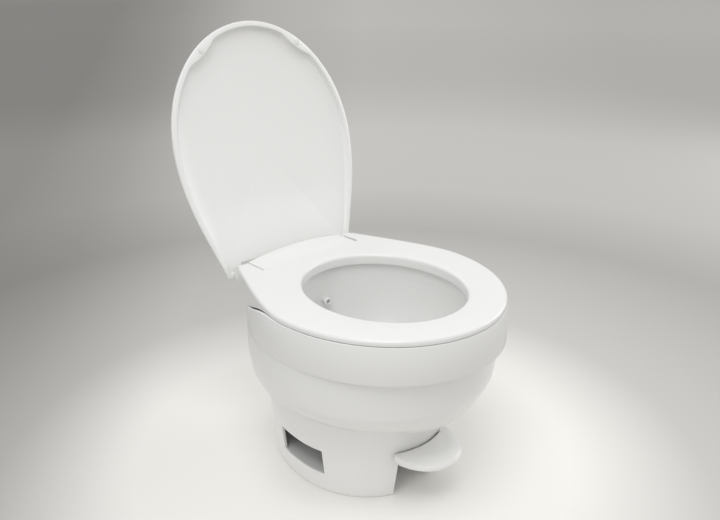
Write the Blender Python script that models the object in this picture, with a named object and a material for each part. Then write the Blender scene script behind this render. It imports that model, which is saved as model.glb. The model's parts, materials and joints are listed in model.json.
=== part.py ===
"""A low recreational-vehicle toilet: oval bowl on a narrow foot, hinged seat and lid, foot pedal with a geared ball valve.

Metres, +Z up, the floor at z = 0. The front of the toilet looks along -Y, so the hinge and the lid are at +Y.
Lengths in plan are measured from the line where the seat is widest, until the last step moves the frame.
"""

from math import acos, atan2, cos, hypot, pi, radians, sin, sqrt, tan

import bmesh
import bpy
from mathutils import Matrix, Vector

# Fits and cuts shared by every piece
GAP = 0.0003
OVERRUN = 0.01
SEGMENTS = 48
ROUND_SEGMENTS = 20
SMALL_SEGMENTS = 10

# Seat: an oval ring with two ears, whose knuckles turn on the hinge pins
SEAT_HALF = 0.192
SEAT_FRONT = 0.215
SEAT_TOP = 0.343
SEAT_RING = 0.0195
SEAT_FLARE = 0.004
SEAT_WALL = 0.005
SEAT_EDGE = 0.009
SEAT_ROUND = 0.0045
SEAT_CROWN = 0.0025
SEAT_EAR_WIDTH = 0.0208
SEAT_SIDE_SHARES = (0.25, 0.72, 0.343)
OPENING_HALF = 0.123
OPENING_LENGTH_HALF = 0.1415
OPENING_Y = -0.0185
OPENING_LIP = 0.012
SEAT_ANGLE = 95

# Hinge: one axis for the seat and the lid, behind the seat's opening
HINGE_Y = 0.203
HINGE_DEPTH = 0.017
HINGE_Z = SEAT_TOP - HINGE_DEPTH
KNUCKLE_RADIUS = 0.016
KNUCKLE_INSET = 0.001
PIN_RADIUS = 0.004
PIN_CLEARANCE = 0.0005
PIN_IN_COVER = 0.016
PIN_IN_EAR = 0.015

# Hinge cover: round in front about the hinge axis, level with the seat, crowned towards the middle of its back
COVER_HALF = 0.104
COVER_FRONT = 0.042
COVER_BACK = 0.006
COVER_CROWN = 0.009
COVER_EDGE = 0.0015
COVER_WALL = 0.0025
COVER_RINGS = 8
COVER_ARC = 6
COVER_STEPS = 7
SLOT_WIDTH = 0.0032
COVER_CLEARANCE = 0.0012

# Hinge posts, bolts and nuts
POST_WIDTH = 0.014
POST_DEPTH = 0.024
POST_BASE = 0.004
POST_STEM = 0.006
POST_END_SETBACK = 0.011
POST_BOSS_RADIUS = 0.009
POST_SETBACK = 0.008
BOLT_RADIUS = 0.003
BOLT_HEAD_RADIUS = 0.0055
BOLT_HEAD_HEIGHT = 0.003
BOLT_POST_SETBACK = 0.014
BOLT_SETBACK = 0.011
BOLT_TAIL = 0.010
NUT_RADIUS = 0.006
NUT_HEIGHT = 0.005

# Lid: a domed shell with a rim lip, drawn closed and then turned open about the hinge axis
LID_HALF = 0.188
LID_FRONT = 0.218
LID_WIDEST_Y = -0.005
LID_EAR_OVERHANG = 0.009
LID_HEEL = 0.006
LID_SIDE_SHARES = (0.40, 0.68, 0.40)
LID_GAP = 0.0012
LID_LIP = 0.009
LID_LIP_SLOPE = 0.002
LID_SHELL = 0.0035
LID_DOME = 0.0205
LID_HEEL_DOME_SHARE = 0.3
LID_DOME_RUN = 0.12
LID_PAD = 0.007
LID_PAD_SHARES = (0.17, 0.055)
LID_OPEN_ANGLE = 104.6
LUG_RADIUS = 0.011
LUG_THICKNESS = 0.0024
LUG_BAR = 0.016
LUG_STEPS = 12

# Bowl shell: an outer skirt with a band, a sloping rim at the back and a deck for the hinge
BAND_OVERHANG = 0.008
BAND_FRONT_OVERHANG = 0.007
BAND_BACK = 0.2285
BAND_LEAN = 0.0025
BAND_STEP = 0.001
BAND_BOTTOM = 0.273
RIM_GAP = 0.001
SLOPE_GAP = 0.0012
RIM_WALL = 0.005
SHELL_WALL = 0.0045
SHOULDER_WIDTH = 0.009
SHOULDER_DEPTH = 0.004
SEAM_Z = 0.1435
BACK_SETBACK = 0.008
RIM_SLOPE_START = 0.030
RIM_SLOPE_END = 0.170
RIM_LOW = 0.0365
SLOPE_FOOT = 0.007
DECK_DROP = 0.045
RIM_STEP = 0.002
DECK_THICKNESS = 0.0045
DECK_FRONT = 0.152
DECK_DEPTH = 0.019
DECK_CORNER = 0.02
PAD_RISE = 0.0145
PAD_WIDTH = 0.013
PAD_INSET = 0.0015
PAD_FRONT = 0.166

# Bowl liner: the basin, from its rim flange down to the throat
LINER_DROP = 0.0255
LINER_FLANGE = 0.004
LINER_WALL = 0.004
LINER_OVERLAP = 0.009
LINER_INSET = 0.007
LINER_BACK = 0.150
COLLAR_WALL = 0.004
COLLAR_DROP = 0.002
THROAT_RADIUS = 0.031
THROAT_FLANGE_RADIUS = 0.044
THROAT_Z = 0.158
THROAT_TUBE = 0.0075

# Pedestal: a flared foot with side windows, a notch for the pedal and a ledge for the floor bolts
FOOT_HALF = 0.130
FOOT_FRONT = 0.1045
FOOT_BACK = 0.1975
FOOT_CENTRE = 0.037
FOOT_BACK_POWER = 2.3
NECK_FLARE = 0.0145
NECK_FRONT_FLARE = 0.0215
NECK_BACK_FLARE = 0.0095
FOOT_ROUND = 0.003
FOOT_WALL = 0.0045
FLANGE_WIDTH = 0.014
FLANGE_THICKNESS = 0.004
LEDGE_TOP = 0.036
LEDGE_THICKNESS = 0.006
LEDGE_CLEARANCE = 0.0025
WINDOW_LENGTH = 0.102
WINDOW_HEIGHT = 0.0475
WINDOW_CORNER = 0.004
NOTCH_HALF = 0.047
NOTCH_TOP = 0.0915
NOTCH_BACK = 0.062

# Waste outlet: ball valve, its housing and seals, on the outlet's axis
OUTLET_Y = 0.038
BALL_RADIUS = 0.036
BALL_WALL = 0.003
BALL_Z = 0.120
BALL_SKIRT_ANGLE = 8
TRUNNION_RADIUS = 0.004
BALL_CLEARANCE = 0.004
HOUSING_WALL = 0.0055
HOUSING_FLANGE_WIDTH = 0.0145
HOUSING_FLANGE_THICKNESS = 0.005
SEAL_HEIGHT = 0.0059
SEAL_BORE = 0.027
FLOOR_SEAL_HEIGHT = 0.014
FLOOR_SEAL_WIDTH = 0.016

# Floor bolts
FLOOR_BOLT_X = 0.076
FLOOR_BOLT_RADIUS = 0.004
FLOOR_BOLT_RISE = 0.020
WASHER_RADIUS = 0.010
WASHER_THICKNESS = 0.0015
FLOOR_NUT_RADIUS = 0.008
FLOOR_NUT_HEIGHT = 0.0065

# Pedal, its shaft and bushes
SHAFT_Y = -0.075
SHAFT_Z = 0.072
SHAFT_RADIUS = 0.006
SHAFT_OVERHANG = 0.002
CHEEK_X = 0.0485
CHEEK_THICKNESS = 0.0075
CHEEK_FRONT = 0.017
CHEEK_BACK = 0.019
CHEEK_RISE = 0.0177
BUSH_WALL = 0.0022
BUSH_FLANGE = 0.011
BUSH_FLANGE_THICKNESS = 0.0015
HUB_RADIUS = 0.0115
PEDAL_NECK_GAP = 0.0036
PEDAL_SIDE_GAP = 0.0018
PEDAL_HALF = 0.060
PEDAL_TOP = 0.0812
PEDAL_TIP_TOP = 0.0965
PEDAL_REACH = 0.1045
PEDAL_ROUND_REACH = 0.0705
PEDAL_POWER = 2.18
PEDAL_EDGE = 0.0138
PEDAL_BELLY = 0.022
PEDAL_DISH = 0.003
PEDAL_RIM = 0.008
PEDAL_ANGLE = 25

# Gears: a sector on the pedal shaft drives a pinion on the ball's axle
GEAR_RATIO = 3.6
PINION_TEETH = 18
GEAR_X = 0.059
GEAR_WIDTH = 0.007
ADDENDUM_SHARE = 0.8
DEDENDUM_SHARE = 1.08
PRESSURE_ANGLE = 20
BACKLASH = 0.0005
SECTOR_HUB = 0.012
SECTOR_RIM = 0.006

# Water valve, its cam and plunger
CAM_X = 0.0685
CAM_WIDTH = 0.0045
CAM_REACH = 0.018
CAM_RADIUS = 0.003
CAM_HUB = 0.0085
PLUNGER_RADIUS = 0.0028
PLUNGER_LENGTH = 0.036
VALVE_RADIUS = 0.013
VALVE_HEIGHT = 0.045
VALVE_ROOF = 0.010
PORT_RADIUS = 0.0055
PORT_LENGTH = 0.008

# Torsion spring round the pedal shaft, between its left bush and the cam
SPRING_WIRE = 0.0009
SPRING_TURNS = 3
SPRING_PITCH = 0.0023
SPRING_CLEARANCE = 0.0012
SPRING_REACH = 0.0128
SPRING_STEPS = 10

# Tubes, nozzle, vacuum breaker and inlet
TUBE_RADIUS = 0.004
INLET_Z = 0.090
INLET_RADIUS = 0.0085
INLET_BORE = 0.0045
INLET_INSIDE = 0.020
INLET_OUTSIDE = 0.022
INLET_FLANGE = 0.0125
INLET_BOSS = 0.0135
INLET_FLANGE_THICKNESS = 0.004
BREAKER_RADIUS = 0.014
BREAKER_HEIGHT = 0.052
BREAKER_SETBACK = 0.019
NOZZLE_RADIUS = 0.006
NOZZLE_DROP = 0.011
NOZZLE_REACH = 0.009
NOZZLE_FLARE = 0.011
NOZZLE_LIP = 0.003

# Bumpers and the screws that hold the bowl on the pedestal
BUMPER_RADIUS = 0.0075
BUMPER_HEIGHT = 0.0075
BUMPER_ANGLES = (radians(40), radians(118))
LID_BUMPER_RADIUS = 0.005
LID_BUMPER_HEIGHT = 0.0009
SCREW_RADIUS = 0.002
SCREW_HEAD_RADIUS = 0.0035
SCREW_HEAD_HEIGHT = 0.0025
SCREW_ANGLES = (35, 145, 215, 325)

# The bowl's underside as shares: (height above the seam, half width, front and back against the band's, and how
# far the outline has become the pedestal's)
SHELL_SHARES = (
    (0.97, 1.0, 0.944, 1.0, 0.0),
    (0.75, 1.0, 0.922, 1.0, 0.0),
    (0.50, 0.985, 0.905, 0.985, 0.0),
    (0.30, 0.925, 0.850, 0.975, 0.0),
    (0.15, 0.775, 0.820, 0.955, 0.08),
    (0.06, 0.744, 0.704, 0.937, 0.4),
    (0.0, 0.725, 0.655, 0.925, 1.0),
)
SHELL_CENTRE_SHARE = 0.3
SHELL_RAISE_SHARE = 0.6
# (depth below the rim, how far the outline has closed in to the throat)
BASIN_SHARES = (
    (0.0, 0.0),
    (0.10, 0.03),
    (0.35, 0.10),
    (0.60, 0.26),
    (0.78, 0.48),
    (0.90, 0.74),
    (0.97, 0.93),
    (1.0, 1.0),
)
# (way in from the edge to the middle, height of the dome there)
LID_SHARES = ((0.14, 0.42), (0.32, 0.68), (0.56, 0.88), (0.80, 0.98))

# Sizes worked out from the ones above
SEAT_BOTTOM = SEAT_TOP - SEAT_RING
RIM_TOP = SEAT_TOP - SEAT_EDGE - RIM_GAP
BAND_HALF = SEAT_HALF + BAND_OVERHANG
BAND_FRONT = SEAT_FRONT + BAND_FRONT_OVERHANG
BACK_Y = HINGE_Y + BACK_SETBACK
DECK_TOP = HINGE_Z - DECK_DROP
NECK_HALF = FOOT_HALF + NECK_FLARE
NECK_FRONT = FOOT_FRONT + NECK_FRONT_FLARE
NECK_BACK = FOOT_BACK + NECK_BACK_FLARE
COLLAR_TOP = SEAT_BOTTOM - COLLAR_DROP
LINER_TOP = SEAT_BOTTOM - LINER_DROP
COVER_RADIUS = hypot(COVER_FRONT, HINGE_DEPTH)
SLOT_HALF = COVER_HALF + SLOT_WIDTH
SEAT_EAR_HALF = SLOT_HALF + SEAT_EAR_WIDTH
LID_EAR_HALF = SEAT_EAR_HALF + LID_EAR_OVERHANG
POST_X = COVER_HALF - POST_END_SETBACK
BOLT_X = POST_X - BOLT_POST_SETBACK
DECK_HALF = SLOT_HALF + GAP + PAD_WIDTH + PAD_INSET
SHOULDER_Z = LINER_TOP - LINER_FLANGE - GAP
CENTRE_DISTANCE = hypot(OUTLET_Y - SHAFT_Y, BALL_Z - SHAFT_Z)
CENTRE_ANGLE = atan2(BALL_Z - SHAFT_Z, OUTLET_Y - SHAFT_Y)
PINION_RADIUS = CENTRE_DISTANCE / (1 + GEAR_RATIO)
SECTOR_RADIUS = CENTRE_DISTANCE - PINION_RADIUS
HOUSING_BORE = BALL_RADIUS + BALL_CLEARANCE
HOUSING_RADIUS = HOUSING_BORE + HOUSING_WALL
HOUSING_FLANGE = HOUSING_RADIUS + HOUSING_FLANGE_WIDTH
LEDGE_HOLE = HOUSING_RADIUS + LEDGE_CLEARANCE
FLOOR_SEAL_RADIUS = HOUSING_BORE + FLOOR_SEAL_WIDTH
HOUSING_TOP = THROAT_Z - THROAT_TUBE - GAP
HOUSING_BOTTOM = FLOOR_SEAL_HEIGHT + GAP
SHAFT_END = GEAR_X + GEAR_WIDTH + SHAFT_OVERHANG


# Materials
def material(name, colour, roughness, metallic=0.0):
    made = bpy.data.materials.new(name)
    made.use_nodes = True
    shader = made.node_tree.nodes["Principled BSDF"]
    shader.inputs["Base Color"].default_value = (*colour, 1)
    shader.inputs["Roughness"].default_value = roughness
    shader.inputs["Metallic"].default_value = metallic
    made.diffuse_color = (*colour, 1)
    return made


WHITE = (0.80, 0.80, 0.79)
FINISHES = {
    "shell": (WHITE, 0.28),
    "basin": ((0.78, 0.78, 0.77), 0.18),
    "rubber": ((0.05, 0.05, 0.05), 0.7),
    "pad": ((0.62, 0.62, 0.60), 0.6),
    "steel": ((0.62, 0.62, 0.62), 0.35, 1.0),
    "grey": ((0.30, 0.31, 0.32), 0.45),
    "tube": ((0.55, 0.60, 0.66), 0.4),
    "brass": ((0.70, 0.55, 0.28), 0.35, 1.0),
}


# Turning point lists into closed meshes
def place(name, bm, finish, smooth=True):
    """Makes an object from a bmesh, with its faces turned outwards."""
    bmesh.ops.recalc_face_normals(bm, faces=bm.faces[:])
    if bm.calc_volume(signed=True) < 0:
        bmesh.ops.reverse_faces(bm, faces=bm.faces[:])
    mesh = bpy.data.meshes.new(name)
    bm.to_mesh(mesh)
    bm.free()
    made = bpy.data.objects.new(name, mesh)
    bpy.context.scene.collection.objects.link(made)
    if finish:
        mesh.materials.append(material(name, *FINISHES[finish]))
    if smooth:
        mesh.shade_smooth()
        mesh.set_sharp_from_angle(angle=radians(35))
    return made


def loft(rings, closed=True):
    """Bridges equal rings of points. Closed joins the last ring to the first; otherwise both ends get a cap."""
    bm = bmesh.new()
    rows = [[bm.verts.new(p) for p in ring] for ring in rings]
    count = len(rows[0])
    pairs = list(zip(rows, rows[1:] + rows[:1])) if closed else list(zip(rows, rows[1:]))
    for low, high in pairs:
        for i in range(count):
            j = (i + 1) % count
            bm.faces.new((low[i], low[j], high[j], high[i]))
    if not closed:
        bm.faces.new(rows[0])
        bm.faces.new(rows[-1])
    return bm


def turned(profile, axis, centre, segments=ROUND_SEGMENTS):
    """Turns (radius, height) points about an axis through centre. A radius of zero closes the end on the axis."""
    along = Vector(axis)
    across = along.orthogonal().normalized()
    other = along.cross(across)
    bm = bmesh.new()
    rows = []
    for radius, height in profile:
        base = Vector(centre) + along * height
        if radius == 0:
            rows.append([bm.verts.new(base)])
            continue
        angles = [2 * pi * i / segments for i in range(segments)]
        rows.append([bm.verts.new(base + (across * cos(a) + other * sin(a)) * radius) for a in angles])
    poled = profile[0][0] == 0
    pairs = zip(rows, rows[1:]) if poled else zip(rows, rows[1:] + rows[:1])
    for low, high in pairs:
        for i in range(segments):
            j = (i + 1) % segments
            if len(low) == 1:
                bm.faces.new((low[0], high[j], high[i]))
            elif len(high) == 1:
                bm.faces.new((low[i], low[j], high[0]))
            else:
                bm.faces.new((low[i], low[j], high[j], high[i]))
    return bm


def rod(radius, start, end, axis, centre, segments=SMALL_SEGMENTS):
    return turned([(0, start), (radius, start), (radius, end), (0, end)], axis, centre, segments)


def ring(outer, inner, start, end, axis, centre, segments=ROUND_SEGMENTS):
    profile = [(outer, start), (outer, end), (inner, end), (inner, start)]
    return turned(profile, axis, centre, segments)


def nut_body(outer, thread, start, end, centre):
    """A hexagon nut along Z, whose six-sided hole clears a round thread."""
    return ring(outer, (thread + GAP) / cos(pi / 6), start, end, (0, 0, 1), centre, 6)


def prism(points, start, end):
    """Extrudes a (y, z) outline along X."""
    return loft([[(start, y, z) for y, z in points], [(end, y, z) for y, z in points]], closed=False)


def block(low, high):
    x0, y0, z0 = low
    x1, y1, z1 = high
    return prism([(y0, z0), (y1, z0), (y1, z1), (y0, z1)], x0, x1)


# Cutting and joining
def helper(name, bm):
    made = place(name, bm, None, smooth=False)
    made.hide_render = True
    made.display_type = "WIRE"
    return made


def apply_boolean(target, operation, name, bm):
    modifier = target.modifiers.new(name, "BOOLEAN")
    modifier.operation = operation
    modifier.object = helper(f"{target.name}_{name}", bm)


def cut(target, name, bm):
    apply_boolean(target, "DIFFERENCE", name, bm)


def add(target, name, bm):
    apply_boolean(target, "UNION", name, bm)


def together(shells):
    """Puts meshes that don't touch into one, so that one cut or union serves them all."""
    first, *others = shells
    for other in others:
        mesh = bpy.data.meshes.new("shell")
        other.to_mesh(mesh)
        other.free()
        first.from_mesh(mesh)
        bpy.data.meshes.remove(mesh)
    return first


def bevelled(bm, width, segments=2):
    bmesh.ops.bevel(bm, geom=bm.edges[:], offset=width, segments=segments, affect="EDGES", profile=0.5)
    return bm


def rounded_plan(half, front, back, corner, low, high, steps=4):
    """A slab whose plan is a rectangle with round corners."""
    points = []
    for cx, cy, turn in ((1, 1, 0), (-1, 1, 1), (-1, -1, 2), (1, -1, 3)):
        x = cx * (half - corner)
        y = (back - corner) if cy > 0 else (front + corner)
        for i in range(steps + 1):
            angle = (turn + i / steps) * pi / 2
            points.append((x + corner * cos(angle), y + corner * sin(angle)))
    return loft([[(x, y, low) for x, y in points], [(x, y, high) for x, y in points]], closed=False)


# Plan outlines
def oval(half, front, back, centre, count=SEGMENTS):
    """Points of an oval: front and back are its reaches from y = 0."""
    points = []
    for i in range(count):
        angle = 2 * pi * (i + 0.5) / count
        reach = (back - centre) if sin(angle) > 0 else (front + centre)
        points.append((half * cos(angle), centre + reach * sin(angle)))
    return points


def bezier(p0, p1, p2, p3, t):
    a, b, c, d = (1 - t) ** 3, 3 * t * (1 - t) ** 2, 3 * t * t * (1 - t), t**3
    return tuple(a * w + b * x + c * y + d * z for w, x, y, z in zip(p0, p1, p2, p3))


def eared_outline(half, front, widest_y, heel_half, heel_y, shares, front_steps=28, side_steps=9, back_steps=6):
    """A rounded front, sides that taper to the hinge line, and a straight back, anticlockwise from +X."""
    rise, bend, squeeze = shares
    run = heel_y - widest_y
    side = [
        bezier(
            (half, widest_y),
            (half, widest_y + run * rise),
            (heel_half + (half - heel_half) * squeeze, widest_y + run * bend),
            (heel_half, heel_y),
            i / side_steps,
        )
        for i in range(side_steps)
    ]
    back = [(heel_half * (1 - 2 * i / back_steps), heel_y) for i in range(back_steps + 1)]
    left = [(-x, y) for x, y in reversed(side)]
    reach = front + widest_y
    nose = [
        (-half * cos(pi * i / front_steps), widest_y - reach * sin(pi * i / front_steps))
        for i in range(1, front_steps)
    ]
    return side + back + left + nose


def smooth_step(value, start, end):
    share = min(max((value - start) / (end - start), 0), 1)
    return share * share * (3 - 2 * share)


def rim_height(y):
    """The bowl's top edge: level in front, lower towards the hinge deck."""
    low = HINGE_Z - RIM_LOW + SLOPE_FOOT
    slope = RIM_TOP + (low - RIM_TOP) * smooth_step(y, RIM_SLOPE_START, RIM_SLOPE_END)
    drop = smooth_step(y, RIM_SLOPE_END, RIM_SLOPE_END + DECK_CORNER * 0.5)
    return slope + (DECK_TOP - RIM_STEP - low) * drop


# Seat
def wall_foot(y):
    """The foot of the seat's outer wall follows the bowl's rim and keeps a gap to it."""
    low = HINGE_Z - RIM_LOW + SLOPE_FOOT
    return max(rim_height(y), low) + RIM_GAP + SLOPE_GAP * smooth_step(y, 0, RIM_SLOPE_START)


def seat_profile(outer, inner):
    """The ring's section along one ray, from the foot of its outer wall over the top and back underneath."""
    (ox, oy), (ix, iy) = outer, inner
    span = hypot(ox - ix, oy - iy)
    dx, dy = (ox - ix) / span, (oy - iy) / span
    outer_foot, inner_foot = span + SEAT_FLARE, span + SEAT_FLARE - SEAT_WALL
    steps = (
        (outer_foot, wall_foot(iy + dy * outer_foot)),
        (span + SEAT_FLARE, SEAT_TOP - SEAT_ROUND * 1.6),
        (span + SEAT_FLARE - SEAT_ROUND * 0.3, SEAT_TOP - SEAT_ROUND * 0.8),
        (span + SEAT_FLARE - SEAT_ROUND, SEAT_TOP - SEAT_ROUND * 0.22),
        (span + SEAT_FLARE - SEAT_ROUND * 2, SEAT_TOP),
        (span * 0.5, SEAT_TOP + SEAT_CROWN * 0.2),
        (OPENING_LIP, SEAT_TOP - SEAT_CROWN * 0.3),
        (OPENING_LIP * 0.45, SEAT_TOP - SEAT_CROWN),
        (OPENING_LIP * 0.12, SEAT_TOP - SEAT_CROWN * 2.2),
        (0, SEAT_TOP - SEAT_CROWN * 4),
        (OPENING_LIP * 0.2, SEAT_BOTTOM),
        (SEAT_WALL, SEAT_BOTTOM),
        (SEAT_WALL * 1.4, SEAT_TOP - SEAT_WALL),
        (span + SEAT_FLARE - SEAT_WALL * 1.4, SEAT_TOP - SEAT_WALL),
        (inner_foot, wall_foot(iy + dy * inner_foot)),
    )
    return [(ix + dx * r, iy + dy * r, z) for r, z in steps]


def opening_point(x, y):
    """Where the ray from the opening's centre through a point crosses the opening."""
    dx, dy = x, y - OPENING_Y
    reach = 1 / hypot(dx / OPENING_HALF, dy / OPENING_LENGTH_HALF)
    return dx * reach, OPENING_Y + dy * reach


def seat_outline():
    return eared_outline(SEAT_HALF, SEAT_FRONT, 0, SEAT_EAR_HALF, HINGE_Y - SEAT_FLARE, SEAT_SIDE_SHARES)


def cover_top(x, y):
    """The cover is level with the seat at its front and its ends, and rises towards the middle of its back."""
    across = min(abs(x) / COVER_HALF, 1)
    return SEAT_TOP + COVER_CROWN * (1 - across * across) * smooth_step(y, HINGE_Y - COVER_FRONT, HINGE_Y)


def seat_room():
    """Room for the hinge cover in the seat: round in front, like the cover, and open behind it."""
    radius = COVER_RADIUS + COVER_CLEARANCE
    turns = [pi * (0.5 + i / ROUND_SEGMENTS) for i in range(ROUND_SEGMENTS + 1)]
    arc = [(HINGE_Y + radius * cos(a), HINGE_Z + radius * sin(a)) for a in turns]
    behind = HINGE_Y + COVER_RADIUS * 2
    return prism([(behind, HINGE_Z + radius), *arc, (behind, HINGE_Z - radius)], -SLOT_HALF, SLOT_HALF)


def lid_room():
    """Room for the cover in the lid's heel, also for the cover's back once the seat has carried the lid right over."""
    over = radians(LID_OPEN_ANGLE + SEAT_ANGLE) - pi
    rise = LID_DOME * 3
    behind = HINGE_Y + COVER_RADIUS * 2
    rings = []
    for step in range(COVER_RINGS + 1):
        x = (COVER_HALF + GAP) * (2 * step / COVER_RINGS - 1)
        radius = hypot(COVER_BACK, cover_top(x, HINGE_Y) - HINGE_Z) + COVER_CLEARANCE
        last = acos((COVER_BACK + COVER_CLEARANCE) / radius) - over
        turns = [-pi / 2 + (last + pi / 2) * i / ROUND_SEGMENTS for i in range(ROUND_SEGMENTS + 1)]
        arc = [(x, HINGE_Y - radius * cos(a), HINGE_Z + radius * sin(a)) for a in turns]
        top = HINGE_Z + radius * sin(last) + rise
        ends = [(x, HINGE_Y - radius * cos(last) - rise * tan(over), top), (x, behind, top)]
        rings.append([*arc, *ends, (x, behind, HINGE_Z - radius)])
    return loft(rings, closed=False)


def make_seat():
    sections = [seat_profile(p, opening_point(*p)) for p in seat_outline()]
    seat = place("seat", loft([list(r) for r in zip(*sections)]), "shell")
    start, end = SLOT_HALF - KNUCKLE_INSET, SEAT_EAR_HALF - KNUCKLE_INSET
    centre = (0, HINGE_Y, HINGE_Z)
    knuckles = [rod(KNUCKLE_RADIUS, start, end, (side, 0, 0), centre, 24) for side in (1, -1)]
    low, high = LINER_TOP + BUMPER_HEIGHT + GAP, SEAT_TOP - SEAT_WALL / 2
    bosses = [rod(BUMPER_RADIUS, low, high, (0, 0, 1), (x, y, 0), 14) for x, y in bumper_places()]
    add(seat, "fittings", together(knuckles + bosses))
    cut(seat, "hinge_room", seat_room())
    reach = SLOT_HALF + PIN_IN_EAR + GAP
    radius = PIN_RADIUS + PIN_CLEARANCE
    cut(seat, "bores", together([rod(radius, COVER_HALF, reach, (side, 0, 0), centre) for side in (1, -1)]))
    return seat


def bumper_places():
    """Four places under the middle of the ring."""
    half, length = (SEAT_HALF + OPENING_HALF) / 2, (SEAT_FRONT + OPENING_LENGTH_HALF) / 2
    return [(side * half * sin(a), OPENING_Y - length * cos(a)) for a in BUMPER_ANGLES for side in (1, -1)]


def make_seat_bumpers():
    made = []
    for number, (x, y) in enumerate(bumper_places()):
        bm = rod(BUMPER_RADIUS, LINER_TOP + GAP, LINER_TOP + BUMPER_HEIGHT, (0, 0, 1), (x, y, 0), 14)
        made.append(place(f"seat_bumper_{number + 1}", bm, "pad"))
    return made


# Lid
def lid_dome(y):
    share = smooth_step(HINGE_Y - y, 0, LID_DOME_RUN)
    return LID_DOME * (LID_HEEL_DOME_SHARE + (1 - LID_HEEL_DOME_SHARE) * share)


def lid_pad(point):
    """Extra lip width where the rim swells into a pad on each side of the front."""
    x, y = point
    angle = abs(atan2(x, -(y - LID_WIDEST_Y))) / pi
    middle, width = LID_PAD_SHARES
    away = (angle - middle) / width
    return LID_PAD * max(0, 1 - away * away)


def lid_section(point):
    """Outer and inner points from the rim to just short of the middle, in the closed pose."""
    x, y = point
    base = SEAT_TOP + LID_GAP
    span = hypot(x, y - LID_WIDEST_Y)
    dome = lid_dome(y)
    lip = LID_LIP + lid_pad(point)

    def at(inwards, height):
        keep = 1 - inwards / span
        return x * keep, LID_WIDEST_Y + (y - LID_WIDEST_Y) * keep, base + height

    def over(share, thickness):
        keep = 1 - share
        yy = LID_WIDEST_Y + (y - LID_WIDEST_Y) * keep
        grown = lid_dome(yy)
        height = next(h for s, h in LID_SHARES if s == share)
        return x * keep, yy, base + LID_SHELL + grown * height + thickness

    outer = [
        at(0, 0),
        at(0, LID_SHELL + dome * 0.08),
        at(LID_LIP * 0.3, LID_SHELL * 1.6 + dome * 0.2),
        at(LID_LIP * 1.1, LID_SHELL * 2 + dome * 0.3),
    ] + [over(s, LID_SHELL) for s, h in LID_SHARES]
    inner = [over(s, 0) for s, h in reversed(LID_SHARES)] + [
        at(lip + LID_LIP_SLOPE * 2, LID_SHELL + dome * 0.22),
        at(lip + LID_LIP_SLOPE, LID_SHELL * 0.6 + dome * 0.15),
        at(lip, 0),
    ]
    return outer, inner


def lid_shell():
    outline = eared_outline(
        LID_HALF, LID_FRONT, LID_WIDEST_Y, LID_EAR_HALF, HINGE_Y + LID_HEEL, LID_SIDE_SHARES
    )
    sections = [lid_section(p) for p in outline]
    bm = bmesh.new()
    rows = [[bm.verts.new(o[k]) for o, _ in sections] for k in range(len(sections[0][0]))]
    under = [[bm.verts.new(i[k]) for _, i in sections] for k in range(len(sections[0][1]))]
    top = SEAT_TOP + LID_GAP + LID_SHELL + LID_DOME
    crown = bm.verts.new((0, LID_WIDEST_Y, top + LID_SHELL))
    hollow = bm.verts.new((0, LID_WIDEST_Y, top))
    count = len(outline)
    for i in range(count):
        j = (i + 1) % count
        for low, high in list(zip(rows, rows[1:])) + list(zip(under, under[1:])) + [(under[-1], rows[0])]:
            bm.faces.new((low[i], low[j], high[j], high[i]))
        bm.faces.new((rows[-1][i], rows[-1][j], crown))
        bm.faces.new((under[0][j], under[0][i], hollow))
    return bm


def lug(side):
    """A plate that hangs from the lid's heel, round below, with a bar that reaches into the lid beside it."""
    foot = SEAT_TOP + LID_GAP + GAP
    top = SEAT_TOP + LID_GAP + LID_SHELL * 0.6
    start, end = HINGE_Y - LUG_RADIUS, HINGE_Y + LID_HEEL * 0.8
    slot_gap = (SLOT_WIDTH - LUG_THICKNESS) / 2
    near, far = COVER_HALF + slot_gap, COVER_HALF + slot_gap + LUG_THICKNESS
    turns = [pi * (1 + i / LUG_STEPS) for i in range(LUG_STEPS + 1)]
    disc = [(HINGE_Y + LUG_RADIUS * cos(a), HINGE_Z + LUG_RADIUS * sin(a)) for a in turns]
    ends = [(end, top), (start, top)]
    plate = disc + ends
    bar = [(start + (end - start) * i / LUG_STEPS, foot) for i in range(LUG_STEPS + 1)] + ends
    reach = SLOT_HALF + LUG_BAR
    rows = ((near, plate), (far, plate), (far + GAP * 0.3, bar), (reach, bar))
    return loft([[(side * x, y, z) for y, z in points] for x, points in rows], closed=False)


def pin_room(side):
    """The bore for a hinge pin through the end of the cover or a lug of the lid."""
    near, far = COVER_HALF - OVERRUN, COVER_HALF + OVERRUN
    return rod(PIN_RADIUS + PIN_CLEARANCE, near, far, (side, 0, 0), (0, HINGE_Y, HINGE_Z))


def make_lid(parent):
    lid = place("lid", lid_shell(), "shell")
    add(lid, "lugs", together([lug(side) for side in (1, -1)]))
    cut(lid, "hinge_room", lid_room())
    cut(lid, "bores", together([pin_room(side) for side in (1, -1)]))
    bumpers = []
    for side in (1, -1):
        angle = LID_PAD_SHARES[0] * pi
        x, y = side * sin(angle), -cos(angle)
        reach = 1 / hypot(x / LID_HALF, y / (LID_FRONT + LID_WIDEST_Y)) - (LID_LIP + LID_PAD) * 0.5
        centre = (x * reach, LID_WIDEST_Y + y * reach, 0)
        top = SEAT_TOP + LID_GAP - GAP
        bm = rod(LID_BUMPER_RADIUS, top - LID_BUMPER_HEIGHT + GAP, top, (0, 0, 1), centre, 16)
        bumpers.append(place(f"lid_bumper_{side_name(side)}", bm, "pad"))
    pivot(lid, bumpers, parent)
    return lid, bumpers


def side_name(side):
    return "right" if side > 0 else "left"


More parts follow.
